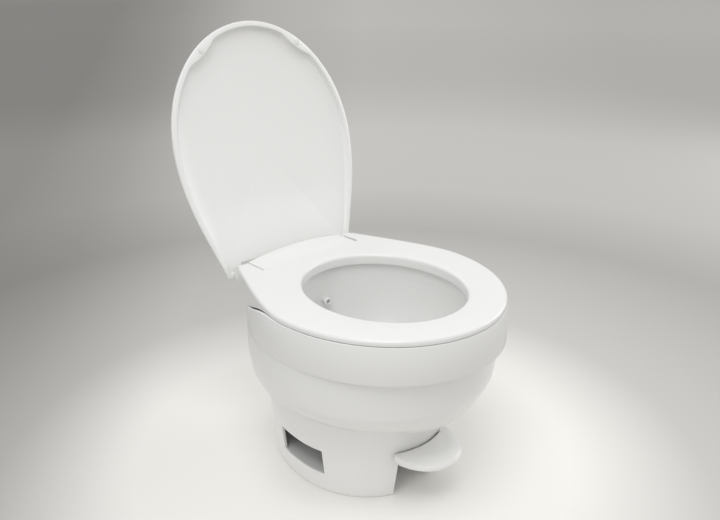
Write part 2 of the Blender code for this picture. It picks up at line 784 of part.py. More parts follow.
def pivot(lid, bumpers, parent):
    """Opens the lid: its empty stands on the hinge axis and turns what was drawn closed."""
    hinge = bpy.data.objects.new("lid_hinge", None)
    bpy.context.scene.collection.objects.link(hinge)
    hinge.parent = parent
    hinge.location = (0, HINGE_Y, HINGE_Z)
    hinge.rotation_euler = (-radians(LID_OPEN_ANGLE), 0, 0)
    carried = [lid, *bumpers] + [m.object for m in lid.modifiers]
    for each in carried:
        each.data.transform(Matrix.Translation((0, -HINGE_Y, -HINGE_Z)))
        each.parent = hinge


# Hinge hardware
def cover_section(x, inset, foot):
    """Up the front leg, round to the top and over it, round the posts' bosses and down to a leg on the deck."""
    radius = COVER_RADIUS - inset
    back = HINGE_Y + COVER_BACK - inset
    rise = asin_share((SEAT_TOP - inset - HINGE_Z) / radius)
    turns = [pi - rise * i / COVER_ARC for i in range(COVER_ARC + 1)]
    points = [(x, HINGE_Y + radius * cos(a), HINGE_Z + radius * sin(a)) for a in turns]
    front, last = points[-1][1], back - COVER_EDGE
    along = [front + (last - front) * i / COVER_STEPS for i in range(1, COVER_STEPS + 1)]
    points += [(x, y, cover_top(x, y) - inset) for y in along]
    corner = (x, back, cover_top(x, back) - inset - COVER_EDGE)
    bulge = POST_BOSS_RADIUS + PIN_CLEARANCE + COVER_WALL - inset
    first = pi / 8
    last = -acos((COVER_BACK - inset) / bulge)
    turns = [first + (last - first) * i / COVER_ARC for i in range(COVER_ARC + 1)]
    behind = [(x, HINGE_Y + bulge * cos(a), HINGE_Z + bulge * sin(a)) for a in turns]
    return [(x, HINGE_Y - radius, foot), *points, corner, *behind, (x, back, foot)]


def make_cover():
    """It stands on the deck and is open underneath."""
    shares = [2 * i / COVER_RINGS - 1 for i in range(COVER_RINGS + 1)]
    foot = DECK_TOP + GAP
    outer = [cover_section(s * COVER_HALF, 0, foot) for s in shares]
    cover = place("hinge_cover", loft(outer, closed=False), "shell")
    inner = [cover_section(s * (COVER_HALF - COVER_WALL), COVER_WALL, foot - OVERRUN) for s in shares]
    cut(cover, "cavity", loft(inner, closed=False))
    cut(cover, "pin_holes", together([pin_room(side) for side in (1, -1)]))
    return cover


def asin_share(value):
    return atan2(value, sqrt(max(1 - value * value, 0)))


def make_hinge_hardware():
    made = []
    base = DECK_TOP + GAP
    for side in (1, -1):
        word = side_name(side)
        axis = (side, 0, 0)
        low_x = POST_X - POST_WIDTH / 2
        post_back = HINGE_Y
        foot_x = BOLT_X - BOLT_HEAD_RADIUS - POST_BASE / 2
        foot = block(
            (min(side * foot_x, side * (POST_X + POST_WIDTH / 2)), post_back - POST_DEPTH, base),
            (max(side * foot_x, side * (POST_X + POST_WIDTH / 2)), post_back, base + POST_BASE),
        )
        post = place(f"hinge_post_{word}", foot, "grey")
        stem = block(
            (min(side * low_x, side * (low_x + POST_STEM)), post_back - POST_SETBACK, base + POST_BASE / 2),
            (max(side * low_x, side * (low_x + POST_STEM)), post_back, HINGE_Z),
        )
        add(post, "stem", stem)
        boss = rod(POST_BOSS_RADIUS, low_x, low_x + POST_WIDTH, axis, (0, HINGE_Y, HINGE_Z), 20)
        add(post, "boss", boss)
        pin_hole = rod(PIN_RADIUS + GAP, low_x - OVERRUN, low_x + POST_WIDTH + OVERRUN, axis, (0, HINGE_Y, HINGE_Z))
        cut(post, "pin_hole", pin_hole)
        centre = (side * BOLT_X, bolt_y(), 0)
        bolt_hole = rod(BOLT_RADIUS + GAP, base - OVERRUN, base + OVERRUN, (0, 0, 1), centre)
        cut(post, "bolt_hole", bolt_hole)
        made.append(post)

        pin_start = COVER_HALF - PIN_IN_COVER
        pin_end = SLOT_HALF + PIN_IN_EAR
        pin = rod(PIN_RADIUS, pin_start, pin_end, axis, (0, HINGE_Y, HINGE_Z))
        made.append(place(f"hinge_pin_{word}", pin, "steel"))

        top = base + POST_BASE + GAP
        tail = DECK_TOP - DECK_THICKNESS - BOLT_TAIL
        profile = [
            (0, tail), (BOLT_RADIUS, tail), (BOLT_RADIUS, top), (BOLT_HEAD_RADIUS, top),
            (BOLT_HEAD_RADIUS, top + BOLT_HEAD_HEIGHT * 0.6), (BOLT_HEAD_RADIUS * 0.6, top + BOLT_HEAD_HEIGHT),
            (0, top + BOLT_HEAD_HEIGHT),
        ]
        made.append(place(f"hinge_bolt_{word}", turned(profile, (0, 0, 1), centre, SMALL_SEGMENTS), "steel"))
        nut_top = DECK_TOP - DECK_THICKNESS - GAP
        nut = nut_body(NUT_RADIUS, BOLT_RADIUS, nut_top - NUT_HEIGHT, nut_top, centre)
        made.append(place(f"hinge_nut_{word}", nut, "steel", smooth=False))
    return made


# Bowl
def band_outline(inset):
    """The band's outline, flat at the back."""
    points = oval(BAND_HALF - inset, BAND_FRONT - inset, BAND_BACK - inset, 0)
    return [(x, min(y, BACK_Y - inset)) for x, y in points]


def shell_outline(half_share, front_share, back_share, neck_share, wall):
    """A level of the bowl's underside: an oval that turns into the pedestal's outline further down."""
    inset = BAND_STEP + wall
    front, back = BAND_FRONT * front_share - inset, BAND_BACK * back_share - inset
    body = oval(BAND_HALF * half_share - inset, front, back, (back - front) * SHELL_CENTRE_SHARE)
    return blended([(x, min(y, BACK_Y - inset)) for x, y in body], foot_oval(1, wall), neck_share)


def blended(first, second, share):
    return [(a + (c - a) * share, b + (d - b) * share) for (a, b), (c, d) in zip(first, second)]


def levelled(points, z):
    return [(x, y, z(y) if callable(z) else z) for x, y in points]


def shell_rings():
    drop = BAND_BOTTOM - SEAM_Z
    outer = [levelled(band_outline(BAND_LEAN), rim_height), levelled(band_outline(0), BAND_BOTTOM)]
    outer += [levelled(shell_outline(*shares, 0), SEAM_Z + drop * height) for height, *shares in SHELL_SHARES]
    hole = foot_oval(1, FLANGE_WIDTH)
    inner = [levelled(hole, SEAM_Z), levelled(hole, SEAM_Z + FLANGE_THICKNESS)]
    for height, *shares in reversed(SHELL_SHARES[1:-1]):
        raised = SHELL_WALL * SHELL_RAISE_SHARE * (1 - height)
        inner.append(levelled(shell_outline(*shares, SHELL_WALL), SEAM_Z + drop * height + raised))
    rim = BAND_LEAN + RIM_WALL

    def shoulder(y):
        low = DECK_TOP - SHOULDER_DEPTH - SHOULDER_Z
        return SHOULDER_Z + low * smooth_step(y, LINER_BACK, LINER_BACK + DECK_CORNER)

    inner.append(levelled(band_outline(rim + SHOULDER_WIDTH), lambda y: shoulder(y) - SHOULDER_DEPTH))
    inner.append(levelled(band_outline(rim + SHOULDER_WIDTH), shoulder))
    inner.append(levelled(band_outline(rim), shoulder))
    inner.append(levelled(band_outline(rim), rim_height))
    return outer + inner


def make_bowl_shell():
    shell = place("bowl_shell", loft(shell_rings()), "shell")
    pads = []
    for side in (1, -1):
        inner, outer = sorted((side * (DECK_HALF - PAD_INSET), side * (DECK_HALF - PAD_INSET - PAD_WIDTH)))
        low, high = DECK_TOP - DECK_THICKNESS / 2, DECK_TOP + PAD_RISE
        pad = block((inner, PAD_FRONT, low), (outer, HINGE_Y - PAD_INSET, high))
        pads.append(bevelled(pad, PAD_WIDTH * 0.25, 1))
    add(shell, "ear_rests", together(pads))
    deck = rounded_plan(DECK_HALF, DECK_FRONT, BACK_Y - GAP, DECK_CORNER, DECK_TOP - DECK_DEPTH, DECK_TOP)
    add(shell, "deck", deck)
    under = rounded_plan(
        DECK_HALF - DECK_THICKNESS, DECK_FRONT - OVERRUN, BACK_Y - GAP - DECK_THICKNESS, DECK_CORNER - DECK_THICKNESS,
        DECK_TOP - DECK_DEPTH - GAP, DECK_TOP - DECK_THICKNESS,
    )
    cut(shell, "under_deck", under)
    bolts = [(side * BOLT_X, bolt_y(), 0) for side in (1, -1)]
    low, high = DECK_TOP - DECK_DEPTH, DECK_TOP + OVERRUN
    cut(shell, "bolt_holes", together([rod(BOLT_RADIUS + GAP, low, high, (0, 0, 1), c) for c in bolts]))
    low, high = SEAM_Z - OVERRUN, SEAM_Z + FLANGE_THICKNESS * 0.85
    cut(shell, "screw_holes", screw_rods(low, high))
    return shell


def bolt_y():
    return HINGE_Y - BOLT_SETBACK


def screw_rods(low, high):
    rods = [rod(SCREW_RADIUS + GAP, low, high, (0, 0, 1), (x, y, 0), 8) for x, y in screw_places()]
    return together(rods)


def screw_places():
    inset = FOOT_WALL + SCREW_HEAD_RADIUS + GAP * 3
    return [foot_point(1, inset, radians(degrees)) for degrees in SCREW_ANGLES]


def basin_oval(closing, inset):
    rim = oval(
        OPENING_HALF + LINER_OVERLAP + inset, OPENING_LENGTH_HALF + LINER_OVERLAP - OPENING_Y + inset,
        OPENING_LENGTH_HALF + LINER_OVERLAP + OPENING_Y + inset, OPENING_Y,
    )
    throat = oval(
        THROAT_RADIUS + inset, THROAT_RADIUS + inset - OUTLET_Y, THROAT_RADIUS + inset + OUTLET_Y, OUTLET_Y
    )
    return blended(rim, throat, closing)


def flange_outline():
    """The liner's rim follows the seat's outline, a little inside it, and stops in front of the deck."""
    points = []
    for x, y in oval(SEAT_HALF, SEAT_FRONT, HINGE_Y, 0):
        span = hypot(x, y)
        edge = eared_reach(x / span, y / span) - LINER_INSET
        points.append((x / span * edge, min(y / span * edge, LINER_BACK)))
    return points


def eared_reach(dx, dy):
    """How far the seat's outline lies from the plan origin in a direction."""
    outline = seat_outline()
    best = 0
    for (ax, ay), (bx, by) in zip(outline, outline[1:] + outline[:1]):
        ex, ey = bx - ax, by - ay
        denominator = dx * ey - dy * ex
        if denominator == 0:
            continue
        along = (ax * ey - ay * ex) / denominator
        share = (ax * dy - ay * dx) / denominator
        if along > 0 and -1e-6 <= share <= 1 + 1e-6:
            best = max(best, along)
    return best


def make_liner():
    depth = LINER_TOP - THROAT_Z
    rings = [levelled(flange_outline(), LINER_TOP), levelled(basin_oval(0, COLLAR_WALL), LINER_TOP)]
    rings += [levelled(basin_oval(0, COLLAR_WALL), COLLAR_TOP), levelled(basin_oval(0, 0), COLLAR_TOP)]
    rings += [levelled(basin_oval(c, 0), LINER_TOP - depth * d) for d, c in BASIN_SHARES]
    throat = THROAT_Z - THROAT_TUBE
    rings.append(levelled(basin_oval(1, 0), throat))
    around = THROAT_FLANGE_RADIUS - THROAT_RADIUS
    rings.append(levelled(basin_oval(1, around), throat))
    rings.append(levelled(basin_oval(1, around), throat + LINER_WALL))
    rings.append(levelled(basin_oval(1, LINER_WALL), throat + LINER_WALL))
    for d, c in reversed(BASIN_SHARES[1:-1]):
        rings.append(levelled(basin_oval(c, LINER_WALL), LINER_TOP - LINER_WALL * d - depth * d))
    rings.append(levelled(basin_oval(0, LINER_WALL), LINER_TOP - LINER_FLANGE))
    rings.append(levelled(flange_outline(), LINER_TOP - LINER_FLANGE))
    liner = place("bowl_liner", loft(rings), "basin")
    back = OPENING_LENGTH_HALF + LINER_OVERLAP + OPENING_Y
    hole = rod(NOZZLE_RADIUS + GAP, OUTLET_Y, back + OVERRUN, (0, 1, 0), (0, 0, nozzle_z()))
    cut(liner, "nozzle_hole", hole)
    return liner


def nozzle_z():
    return DECK_TOP - DECK_THICKNESS - NOZZLE_DROP


def basin_back(z):
    """The basin's inner wall on the centre line at a height."""
    depth = (LINER_TOP - z) / (LINER_TOP - THROAT_Z)
    for (d0, c0), (d1, c1) in zip(BASIN_SHARES, BASIN_SHARES[1:]):
        if d0 <= depth <= d1:
            closing = c0 + (c1 - c0) * (depth - d0) / (d1 - d0)
            break
    rim = OPENING_LENGTH_HALF + LINER_OVERLAP + OPENING_Y
    return rim + (THROAT_RADIUS + OUTLET_Y - rim) * closing


# Pedestal
def foot_point(share, inset, angle):
    """A point of the pedestal's outline: share is 0 at the floor and 1 at the neck. The back is fuller than an oval."""
    half = FOOT_HALF + NECK_FLARE * share - inset
    if sin(angle) <= 0:
        reach = FOOT_FRONT + NECK_FRONT_FLARE * share - inset + FOOT_CENTRE
        return half * cos(angle), FOOT_CENTRE + reach * sin(angle)
    reach = FOOT_BACK + NECK_BACK_FLARE * share - inset - FOOT_CENTRE
    across = abs(cos(angle)) ** (2 / FOOT_BACK_POWER)
    side = 1 if cos(angle) > 0 else -1
    return half * across * side, FOOT_CENTRE + reach * sin(angle) ** (2 / FOOT_BACK_POWER)


def foot_oval(share, inset):
    return [foot_point(share, inset, 2 * pi * (i + 0.5) / SEGMENTS) for i in range(SEGMENTS)]


def make_pedestal():
    top = SEAM_Z - GAP
    circle = oval(LEDGE_HOLE, LEDGE_HOLE - OUTLET_Y, LEDGE_HOLE + OUTLET_Y, OUTLET_Y)

    def wall(z, inset):
        return levelled(foot_oval(z / top, inset), z)

    rings = [
        wall(0, FOOT_ROUND * 0.5),
        wall(FOOT_ROUND, 0),
        wall(top, 0),
        wall(top, FLANGE_WIDTH),
        levelled(foot_oval(1, FLANGE_WIDTH), top - FLANGE_THICKNESS),
        wall(top - FLANGE_THICKNESS, FOOT_WALL),
        wall(LEDGE_TOP, FOOT_WALL),
        levelled(circle, LEDGE_TOP),
        levelled(circle, LEDGE_TOP - LEDGE_THICKNESS),
        wall(LEDGE_TOP - LEDGE_THICKNESS, FOOT_WALL),
        wall(0, FOOT_WALL),
    ]
    pedestal = place("pedestal", loft(rings), "shell")
    shaft = (0, SHAFT_Y, SHAFT_Z)
    for side in (1, -1):
        low = min(side * CHEEK_X, side * (CHEEK_X + CHEEK_THICKNESS))
        cheek = block(
            (low, SHAFT_Y - CHEEK_FRONT, LEDGE_TOP - LEDGE_THICKNESS / 2),
            (low + CHEEK_THICKNESS, SHAFT_Y + CHEEK_BACK, SHAFT_Z + CHEEK_RISE),
        )
        add(pedestal, f"cheek_{side}", cheek)
    notch = block((-NOTCH_HALF, -NECK_FRONT - OVERRUN, -OVERRUN), (NOTCH_HALF, -NOTCH_BACK, NOTCH_TOP))
    cut(pedestal, "notch", notch)
    for side in (1, -1):
        near = NECK_HALF * 0.55
        window = block(
            (min(side * near, side * (NECK_HALF + OVERRUN)), OUTLET_Y - WINDOW_LENGTH / 2, LEDGE_TOP + GAP),
            (
                max(side * near, side * (NECK_HALF + OVERRUN)),
                OUTLET_Y + WINDOW_LENGTH / 2,
                LEDGE_TOP + GAP + WINDOW_HEIGHT,
            ),
        )
        cut(pedestal, f"window_{side}", bevelled(window, WINDOW_CORNER))
        near, far = CHEEK_X - OVERRUN / 2, CHEEK_X + CHEEK_THICKNESS + OVERRUN / 2
        bore = rod(bush_radius() + GAP, near, far, (side, 0, 0), shaft, 20)
        cut(pedestal, f"bush_bore_{side}", bore)
        hole = rod(
            FLOOR_BOLT_RADIUS + PIN_CLEARANCE, LEDGE_TOP - LEDGE_THICKNESS - OVERRUN, LEDGE_TOP + OVERRUN, (0, 0, 1),
            (side * FLOOR_BOLT_X, OUTLET_Y, 0),
        )
        cut(pedestal, f"floor_hole_{side}", hole)
    cut(pedestal, "screw_holes", screw_rods(SEAM_Z - OVERRUN, SEAM_Z + OVERRUN))
    inlet = rod(INLET_RADIUS + GAP, FOOT_BACK * 0.8, NECK_BACK + OVERRUN, (0, 1, 0), (0, 0, INLET_Z), 20)
    boss = rod(INLET_BOSS, inlet_face() - INLET_INSIDE * 0.7, inlet_face(), (0, 1, 0), (0, 0, INLET_Z), 20)
    add(pedestal, "inlet_boss", boss)
    cut(pedestal, "inlet_hole", inlet)
    return pedestal


def bush_radius():
    return SHAFT_RADIUS + GAP + BUSH_WALL


def make_bowl_screws():
    made = []
    head = SEAM_Z - GAP - FLANGE_THICKNESS - GAP
    for number, (x, y) in enumerate(screw_places()):
        profile = [
            (0, head - SCREW_HEAD_HEIGHT), (SCREW_HEAD_RADIUS, head - SCREW_HEAD_HEIGHT), (SCREW_HEAD_RADIUS, head),
            (SCREW_RADIUS, head), (SCREW_RADIUS, SEAM_Z + FLANGE_THICKNESS * 0.7), (0, SEAM_Z + FLANGE_THICKNESS * 0.7),
        ]
        bm = turned(profile, (0, 0, 1), (x, y, 0), 8)
        made.append(place(f"bowl_screw_{number + 1}", bm, "steel"))
    return made


# Waste outlet
def make_outlet():
    centre = (0, OUTLET_Y, 0)
    up = (0, 0, 1)
    low = LEDGE_TOP + GAP
    profile = [
        (HOUSING_RADIUS, HOUSING_BOTTOM), (HOUSING_RADIUS, low), (HOUSING_FLANGE, low),
        (HOUSING_FLANGE, low + HOUSING_FLANGE_THICKNESS), (HOUSING_RADIUS, low + HOUSING_FLANGE_THICKNESS),
        (HOUSING_RADIUS, HOUSING_TOP), (HOUSING_BORE, HOUSING_TOP), (HOUSING_BORE, HOUSING_BOTTOM),
    ]
    housing = place("valve_housing", turned(profile, up, centre, 32), "grey")
    through = rod(
        TRUNNION_RADIUS + GAP, -HOUSING_RADIUS - OVERRUN, HOUSING_RADIUS + OVERRUN, (1, 0, 0), (0, OUTLET_Y, BALL_Z)
    )
    cut(housing, "axle_hole", through)
    seal_top = HOUSING_TOP
    seal = ring(HOUSING_BORE - GAP, SEAL_BORE, seal_top - SEAL_HEIGHT, seal_top, up, centre)
    floor_seal = ring(FLOOR_SEAL_RADIUS, HOUSING_BORE, 0, FLOOR_SEAL_HEIGHT, up, centre)
    return [housing, place("throat_seal", seal, "rubber"), place("floor_seal", floor_seal, "rubber")]


def make_ball():
    """Half a hollow ball with an axle on each side, dome up when the bowl is closed."""
    centre = (0, OUTLET_Y, BALL_Z)
    skirt = -radians(BALL_SKIRT_ANGLE)
    steps = 6
    angles = [skirt + (pi / 2 - skirt) * i / steps for i in range(steps + 1)]
    outer = [(BALL_RADIUS * cos(a), BALL_RADIUS * sin(a)) for a in angles[:-1]] + [(0, BALL_RADIUS)]
    hollow = BALL_RADIUS - BALL_WALL
    inner = [(0, hollow)] + [(hollow * cos(a), hollow * sin(a)) for a in reversed(angles[:-1])]
    bm = cap_shell(outer, inner, centre)
    ball = place("waste_ball", bm, "grey")
    for side, reach in ((1, GEAR_X + GEAR_WIDTH + SHAFT_OVERHANG), (-1, HOUSING_RADIUS + SHAFT_OVERHANG)):
        axle = rod(TRUNNION_RADIUS, hollow + BALL_WALL / 4, reach, (side, 0, 0), centre, 16)
        add(ball, f"axle_{side}", axle)
    return ball


def cap_shell(outer, inner, centre, segments=ROUND_SEGMENTS):
    """A domed shell from an outer and an inner profile that both end on the axis."""
    bm = bmesh.new()
    angles = [2 * pi * i / segments for i in range(segments)]
    base = Vector(centre)

    def row(radius, height):
        if radius == 0:
            return [bm.verts.new(base + Vector((0, 0, height)))]
        return [bm.verts.new(base + Vector((radius * cos(a), radius * sin(a), height))) for a in angles]

    rows = [row(*p) for p in outer] + [None] + [row(*p) for p in inner]
    pairs = [(a, b) for a, b in zip(rows, rows[1:]) if a and b] + [(rows[-1], rows[0])]
    for low, high in pairs:
        for i in range(segments):
            j = (i + 1) % segments
            corners = [low[i % len(low)], low[j % len(low)], high[j % len(high)], high[i % len(high)]]
            bm.faces.new(list(dict.fromkeys(corners)))
    return bm


# Gears
def tooth(radius, teeth, centre_angle):
    """One involute tooth as (radius, angle) points, from root to root."""
    module = 2 * PINION_RADIUS / PINION_TEETH
    pressure = radians(PRESSURE_ANGLE)
    base = radius * cos(pressure)
    half = pi / (2 * teeth) - BACKLASH / (2 * radius) + tan(pressure) - pressure
    tip = radius + ADDENDUM_SHARE * module
    root = radius - DEDENDUM_SHARE * module
    start = max(base, root)
    flank = [start + (tip - start) * share for share in (0, 0.5, 1)]
    side = []
    for r in flank:
        slope = acos(min(base / r, 1))
        side.append((r, half - (tan(slope) - slope)))
    if root < base:
        side.insert(0, (root, side[0][1]))
    return [(r, centre_angle - a) for r, a in side] + [(r, centre_angle + a) for r, a in reversed(side)]


def round_points(centre, polar):
    y, z = centre
    return [(y + r * cos(a), z + r * sin(a)) for r, a in polar]


def make_pinion():
    """A tooth points at the pedal shaft when the pedal is up."""
    polar = []
    towards = CENTRE_ANGLE + pi
    for i in range(PINION_TEETH):
        polar += tooth(PINION_RADIUS, PINION_TEETH, towards + 2 * pi * i / PINION_TEETH)
    outline = round_points((OUTLET_Y, BALL_Z), polar)
    pinion = place("ball_pinion", prism(outline, GEAR_X, GEAR_X + GEAR_WIDTH), "grey", smooth=False)
    bore = rod(
        TRUNNION_RADIUS + GAP, GEAR_X - OVERRUN, GEAR_X + GEAR_WIDTH + OVERRUN, (1, 0, 0), (0, OUTLET_Y, BALL_Z), 16
    )
    cut(pinion, "bore", bore)
    return pinion


def make_sector():
    teeth = PINION_TEETH * GEAR_RATIO
    pitch = 2 * pi / teeth
    needed = int(radians(PEDAL_ANGLE) / pitch) + 3
    polar = []
    for i in range(-needed, 2):
        polar += tooth(SECTOR_RADIUS, teeth, CENTRE_ANGLE + (i + 0.5) * pitch)
    module = 2 * PINION_RADIUS / PINION_TEETH
    root = SECTOR_RADIUS - DEDENDUM_SHARE * module
    first, last = polar[0][1] - pitch / 4, polar[-1][1] + pitch / 4
    polar = [(root - SECTOR_RIM, first), (root, first)] + polar + [(root, last), (root - SECTOR_RIM, last)]
    hub_steps = 10
    turn = 2 * pi - (last - first) - pi / 2
    hub = [(SECTOR_HUB, last + pi / 4 + turn * i / hub_steps) for i in range(hub_steps + 1)]
    outline = round_points((SHAFT_Y, SHAFT_Z), polar + hub)
    sector = place("drive_sector", prism(outline, GEAR_X, GEAR_X + GEAR_WIDTH), "grey", smooth=False)
    bore = rod(
        SHAFT_RADIUS + GAP, GEAR_X - OVERRUN, GEAR_X + GEAR_WIDTH + OVERRUN, (1, 0, 0), (0, SHAFT_Y, SHAFT_Z), 16
    )
    cut(sector, "bore", bore)
    return sector


# Pedal group
def front_wall(x):
    """The pedestal's front face at the height of the notch's top."""
    share = NOTCH_TOP / SEAM_Z
    reach = FOOT_FRONT + NECK_FRONT_FLARE * share + FOOT_CENTRE
    across = x / (FOOT_HALF + NECK_FLARE * share)
    return FOOT_CENTRE - reach * sqrt(1 - across * across)


def make_pedal():
    """The paddle outside, a neck through the notch and a hub round the shaft."""
    inner = SHAFT_Y
    tip = SHAFT_Y - PEDAL_REACH
    turn = tip + PEDAL_ROUND_REACH
    neck = NOTCH_HALF - PEDAL_SIDE_GAP
    front_steps, rear_steps = 20, 3
    nose = []
    for i in range(front_steps + 1):
        x, y = cos(pi * i / front_steps), abs(sin(pi * i / front_steps))
        across = abs(x) ** (2 / PEDAL_POWER) * (1 if x > 0 else -1)
        nose.append((PEDAL_HALF * across, turn - PEDAL_ROUND_REACH * y ** (2 / PEDAL_POWER)))
    rear = [neck + (PEDAL_HALF - neck) * i / rear_steps for i in range(rear_steps + 1)]
    right = [(x, front_wall(x) - PEDAL_NECK_GAP) for x in rear]
    left = [(-x, y) for x, y in reversed(right)]
    outline = [(neck, inner), *right, *nose, *left, (-neck, inner)]

    def top(y):
        share = (inner - y) / PEDAL_REACH
        return PEDAL_TOP + (PEDAL_TIP_TOP - PEDAL_TOP) * share

    middle = (0, (turn + tip) / 2)

    def inset(points, width):
        out = []
        for x, y in points:
            span = hypot(x - middle[0], y - middle[1])
            keep = max(1 - width / span, 0)
            out.append((middle[0] + (x - middle[0]) * keep, middle[1] + (y - middle[1]) * keep))
        return out

    edge = PEDAL_EDGE
    rings = [
        [(x, y, top(y) - PEDAL_BELLY) for x, y in inset(outline, edge * 2)],
        [(x, y, top(y) - PEDAL_BELLY * 0.9) for x, y in inset(outline, edge)],
        [(x, y, top(y) - edge) for x, y in inset(outline, edge * 0.1)],
        [(x, y, top(y) - edge * 0.4) for x, y in outline],
        [(x, y, top(y) - edge * 0.08) for x, y in inset(outline, edge * 0.2)],
        [(x, y, top(y)) for x, y in inset(outline, edge * 0.45)],
        [(x, y, top(y) - PEDAL_DISH * 0.4) for x, y in inset(outline, PEDAL_RIM + edge * 0.4)],
        [(x, y, top(y) - PEDAL_DISH) for x, y in inset(outline, PEDAL_RIM * 2.2)],
    ]
    pedal = place("pedal", loft(rings, closed=False), "shell")
    hub_half = neck - PEDAL_SIDE_GAP
    hub = rod(HUB_RADIUS, -hub_half, hub_half, (1, 0, 0), (0, SHAFT_Y, SHAFT_Z), 20)
    add(pedal, "hub", hub)
    bore = rod(SHAFT_RADIUS + GAP, -NOTCH_HALF - OVERRUN, NOTCH_HALF + OVERRUN, (1, 0, 0), (0, SHAFT_Y, SHAFT_Z), 16)
    cut(pedal, "bore", bore)
    return pedal


def make_shaft_group():
    axis = (1, 0, 0)
    centre = (0, SHAFT_Y, SHAFT_Z)
    left_end = -CAM_X - CAM_WIDTH - SHAFT_OVERHANG
    shaft = place("pedal_shaft", rod(SHAFT_RADIUS, left_end, SHAFT_END, axis, centre, 16), "steel")
    cam = cam_outline()
    valve_cam = place("valve_cam", prism(cam, -CAM_X - CAM_WIDTH, -CAM_X), "grey")
    bore = rod(SHAFT_RADIUS + GAP, -CAM_X - CAM_WIDTH - OVERRUN, -CAM_X + OVERRUN, axis, centre, 16)
    cut(valve_cam, "bore", bore)
    bushes = []
    for side in (1, -1):
        start = CHEEK_X - BUSH_FLANGE_THICKNESS / 2
        end = CHEEK_X + CHEEK_THICKNESS + GAP
        profile = [
            (bush_radius(), start), (bush_radius(), end), (BUSH_FLANGE, end),
            (BUSH_FLANGE, end + BUSH_FLANGE_THICKNESS), (SHAFT_RADIUS + GAP, end + BUSH_FLANGE_THICKNESS),
            (SHAFT_RADIUS + GAP, start),
        ]
        bm = turned(profile, (side, 0, 0), centre, 20)
        bushes.append(place(f"shaft_bush_{side_name(side)}", bm, "brass"))
    return shaft, valve_cam, bushes


def cam_outline():
    """A round hub with a finger that points back and lifts the plunger."""
    steps = 14
    spread = asin_share(CAM_RADIUS / CAM_HUB)
    hub = [
        (SHAFT_Y + CAM_HUB * cos(a), SHAFT_Z + CAM_HUB * sin(a))
        for a in (spread + (2 * pi - 2 * spread) * i / steps for i in range(steps + 1))
    ]
    tip_steps = 6
    tip = [
        (SHAFT_Y + CAM_REACH + CAM_RADIUS * cos(a), SHAFT_Z + CAM_RADIUS * sin(a))
        for a in (-pi / 2 + pi * i / tip_steps for i in range(tip_steps + 1))
    ]
    return hub + tip


def make_spring():
    """A leg on the pedestal's ledge, turns round the shaft, and a leg that presses the cam's finger down."""
    radius = SHAFT_RADIUS + SPRING_CLEARANCE + SPRING_WIRE
    start = -(CHEEK_X + CHEEK_THICKNESS + BUSH_FLANGE_THICKNESS + GAP * 2 + SPRING_WIRE)
    steps = round((SPRING_TURNS + 0.25) * SPRING_STEPS)
    points = [(start, SHAFT_Y - radius, LEDGE_TOP + SPRING_WIRE + GAP)]
    for i in range(steps + 1):
        turn = 2 * pi * (SPRING_TURNS + 0.25) * i / steps
        x = start - SPRING_PITCH * turn / (2 * pi)
        points.append((x, SHAFT_Y - radius * cos(turn), SHAFT_Z + radius * sin(turn)))
    finger = SHAFT_Z + CAM_RADIUS + SPRING_WIRE + GAP
    over = (finger + SHAFT_Z + radius) / 2
    points.append((points[-1][0], SHAFT_Y + SPRING_REACH * 0.7, over))
    points.append((-CAM_X - CAM_WIDTH / 2, SHAFT_Y + SPRING_REACH, finger))
    print(f"return_spring: least gap between turns {(SPRING_PITCH - 2 * SPRING_WIRE) * 1000:.2f} mm")
    return tube("return_spring", points, SPRING_WIRE, "steel", 1)


# Water side
def valve_place():
    return -CAM_X - CAM_WIDTH / 2, SHAFT_Y + CAM_REACH


def make_water_valve():
    x, y = valve_place()
    low = SHAFT_Z + CHEEK_RISE + GAP
    high = low + VALVE_HEIGHT
    up = (0, 0, 1)
    valve = place("water_valve", rod(VALVE_RADIUS, low, high, up, (x, y, 0), 20), "grey")
    port = rod(PORT_RADIUS, 0, VALVE_RADIUS + PORT_LENGTH, (0, 1, 0), (x, y, valve_port_z()))
    add(valve, "supply_port", port)
    roof = rod(PORT_RADIUS, high - VALVE_ROOF / 2, high + PORT_LENGTH, up, (x, y, 0))
    add(valve, "rinse_port", roof)
    bore = rod(PLUNGER_RADIUS + GAP, low - OVERRUN, high - VALVE_ROOF, up, (x, y, 0), 16)
    cut(valve, "plunger_bore", bore)
    foot = SHAFT_Z + CAM_RADIUS + GAP
    plunger = rod(PLUNGER_RADIUS, foot, foot + PLUNGER_LENGTH, up, (x, y, 0), 16)
    return valve, place("valve_plunger", plunger, "brass")


def valve_port_z():
    return SHAFT_Z + CHEEK_RISE + VALVE_HEIGHT / 2


def inlet_face():
    """The pedestal's boss for the inlet stands just behind the sloping back wall, at the height of its own top."""
    return FOOT_BACK + NECK_BACK_FLARE * (INLET_Z + INLET_BOSS) / SEAM_Z + GAP


def make_inlet():
    face = inlet_face() + GAP
    start, end = face - INLET_INSIDE, face + INLET_OUTSIDE
    profile = [
        (INLET_RADIUS, start), (INLET_RADIUS, face), (INLET_FLANGE, face),
        (INLET_FLANGE, face + INLET_FLANGE_THICKNESS), (INLET_RADIUS, face + INLET_FLANGE_THICKNESS),
        (INLET_RADIUS, end), (INLET_BORE, end), (INLET_BORE, start),
    ]
    return place("inlet_fitting", turned(profile, (0, 1, 0), (0, 0, INLET_Z), 20), "grey")


def make_breaker():
    top = DECK_TOP - DECK_THICKNESS - GAP
    y = HINGE_Y - BREAKER_SETBACK
    profile = [
        (0, top - BREAKER_HEIGHT), (BREAKER_RADIUS * 0.6, top - BREAKER_HEIGHT),
        (BREAKER_RADIUS, top - BREAKER_HEIGHT * 0.85), (BREAKER_RADIUS, top), (0, top),
    ]
    return place("vacuum_breaker", turned(profile, (0, 0, 1), (0, y, 0), 20), "grey")


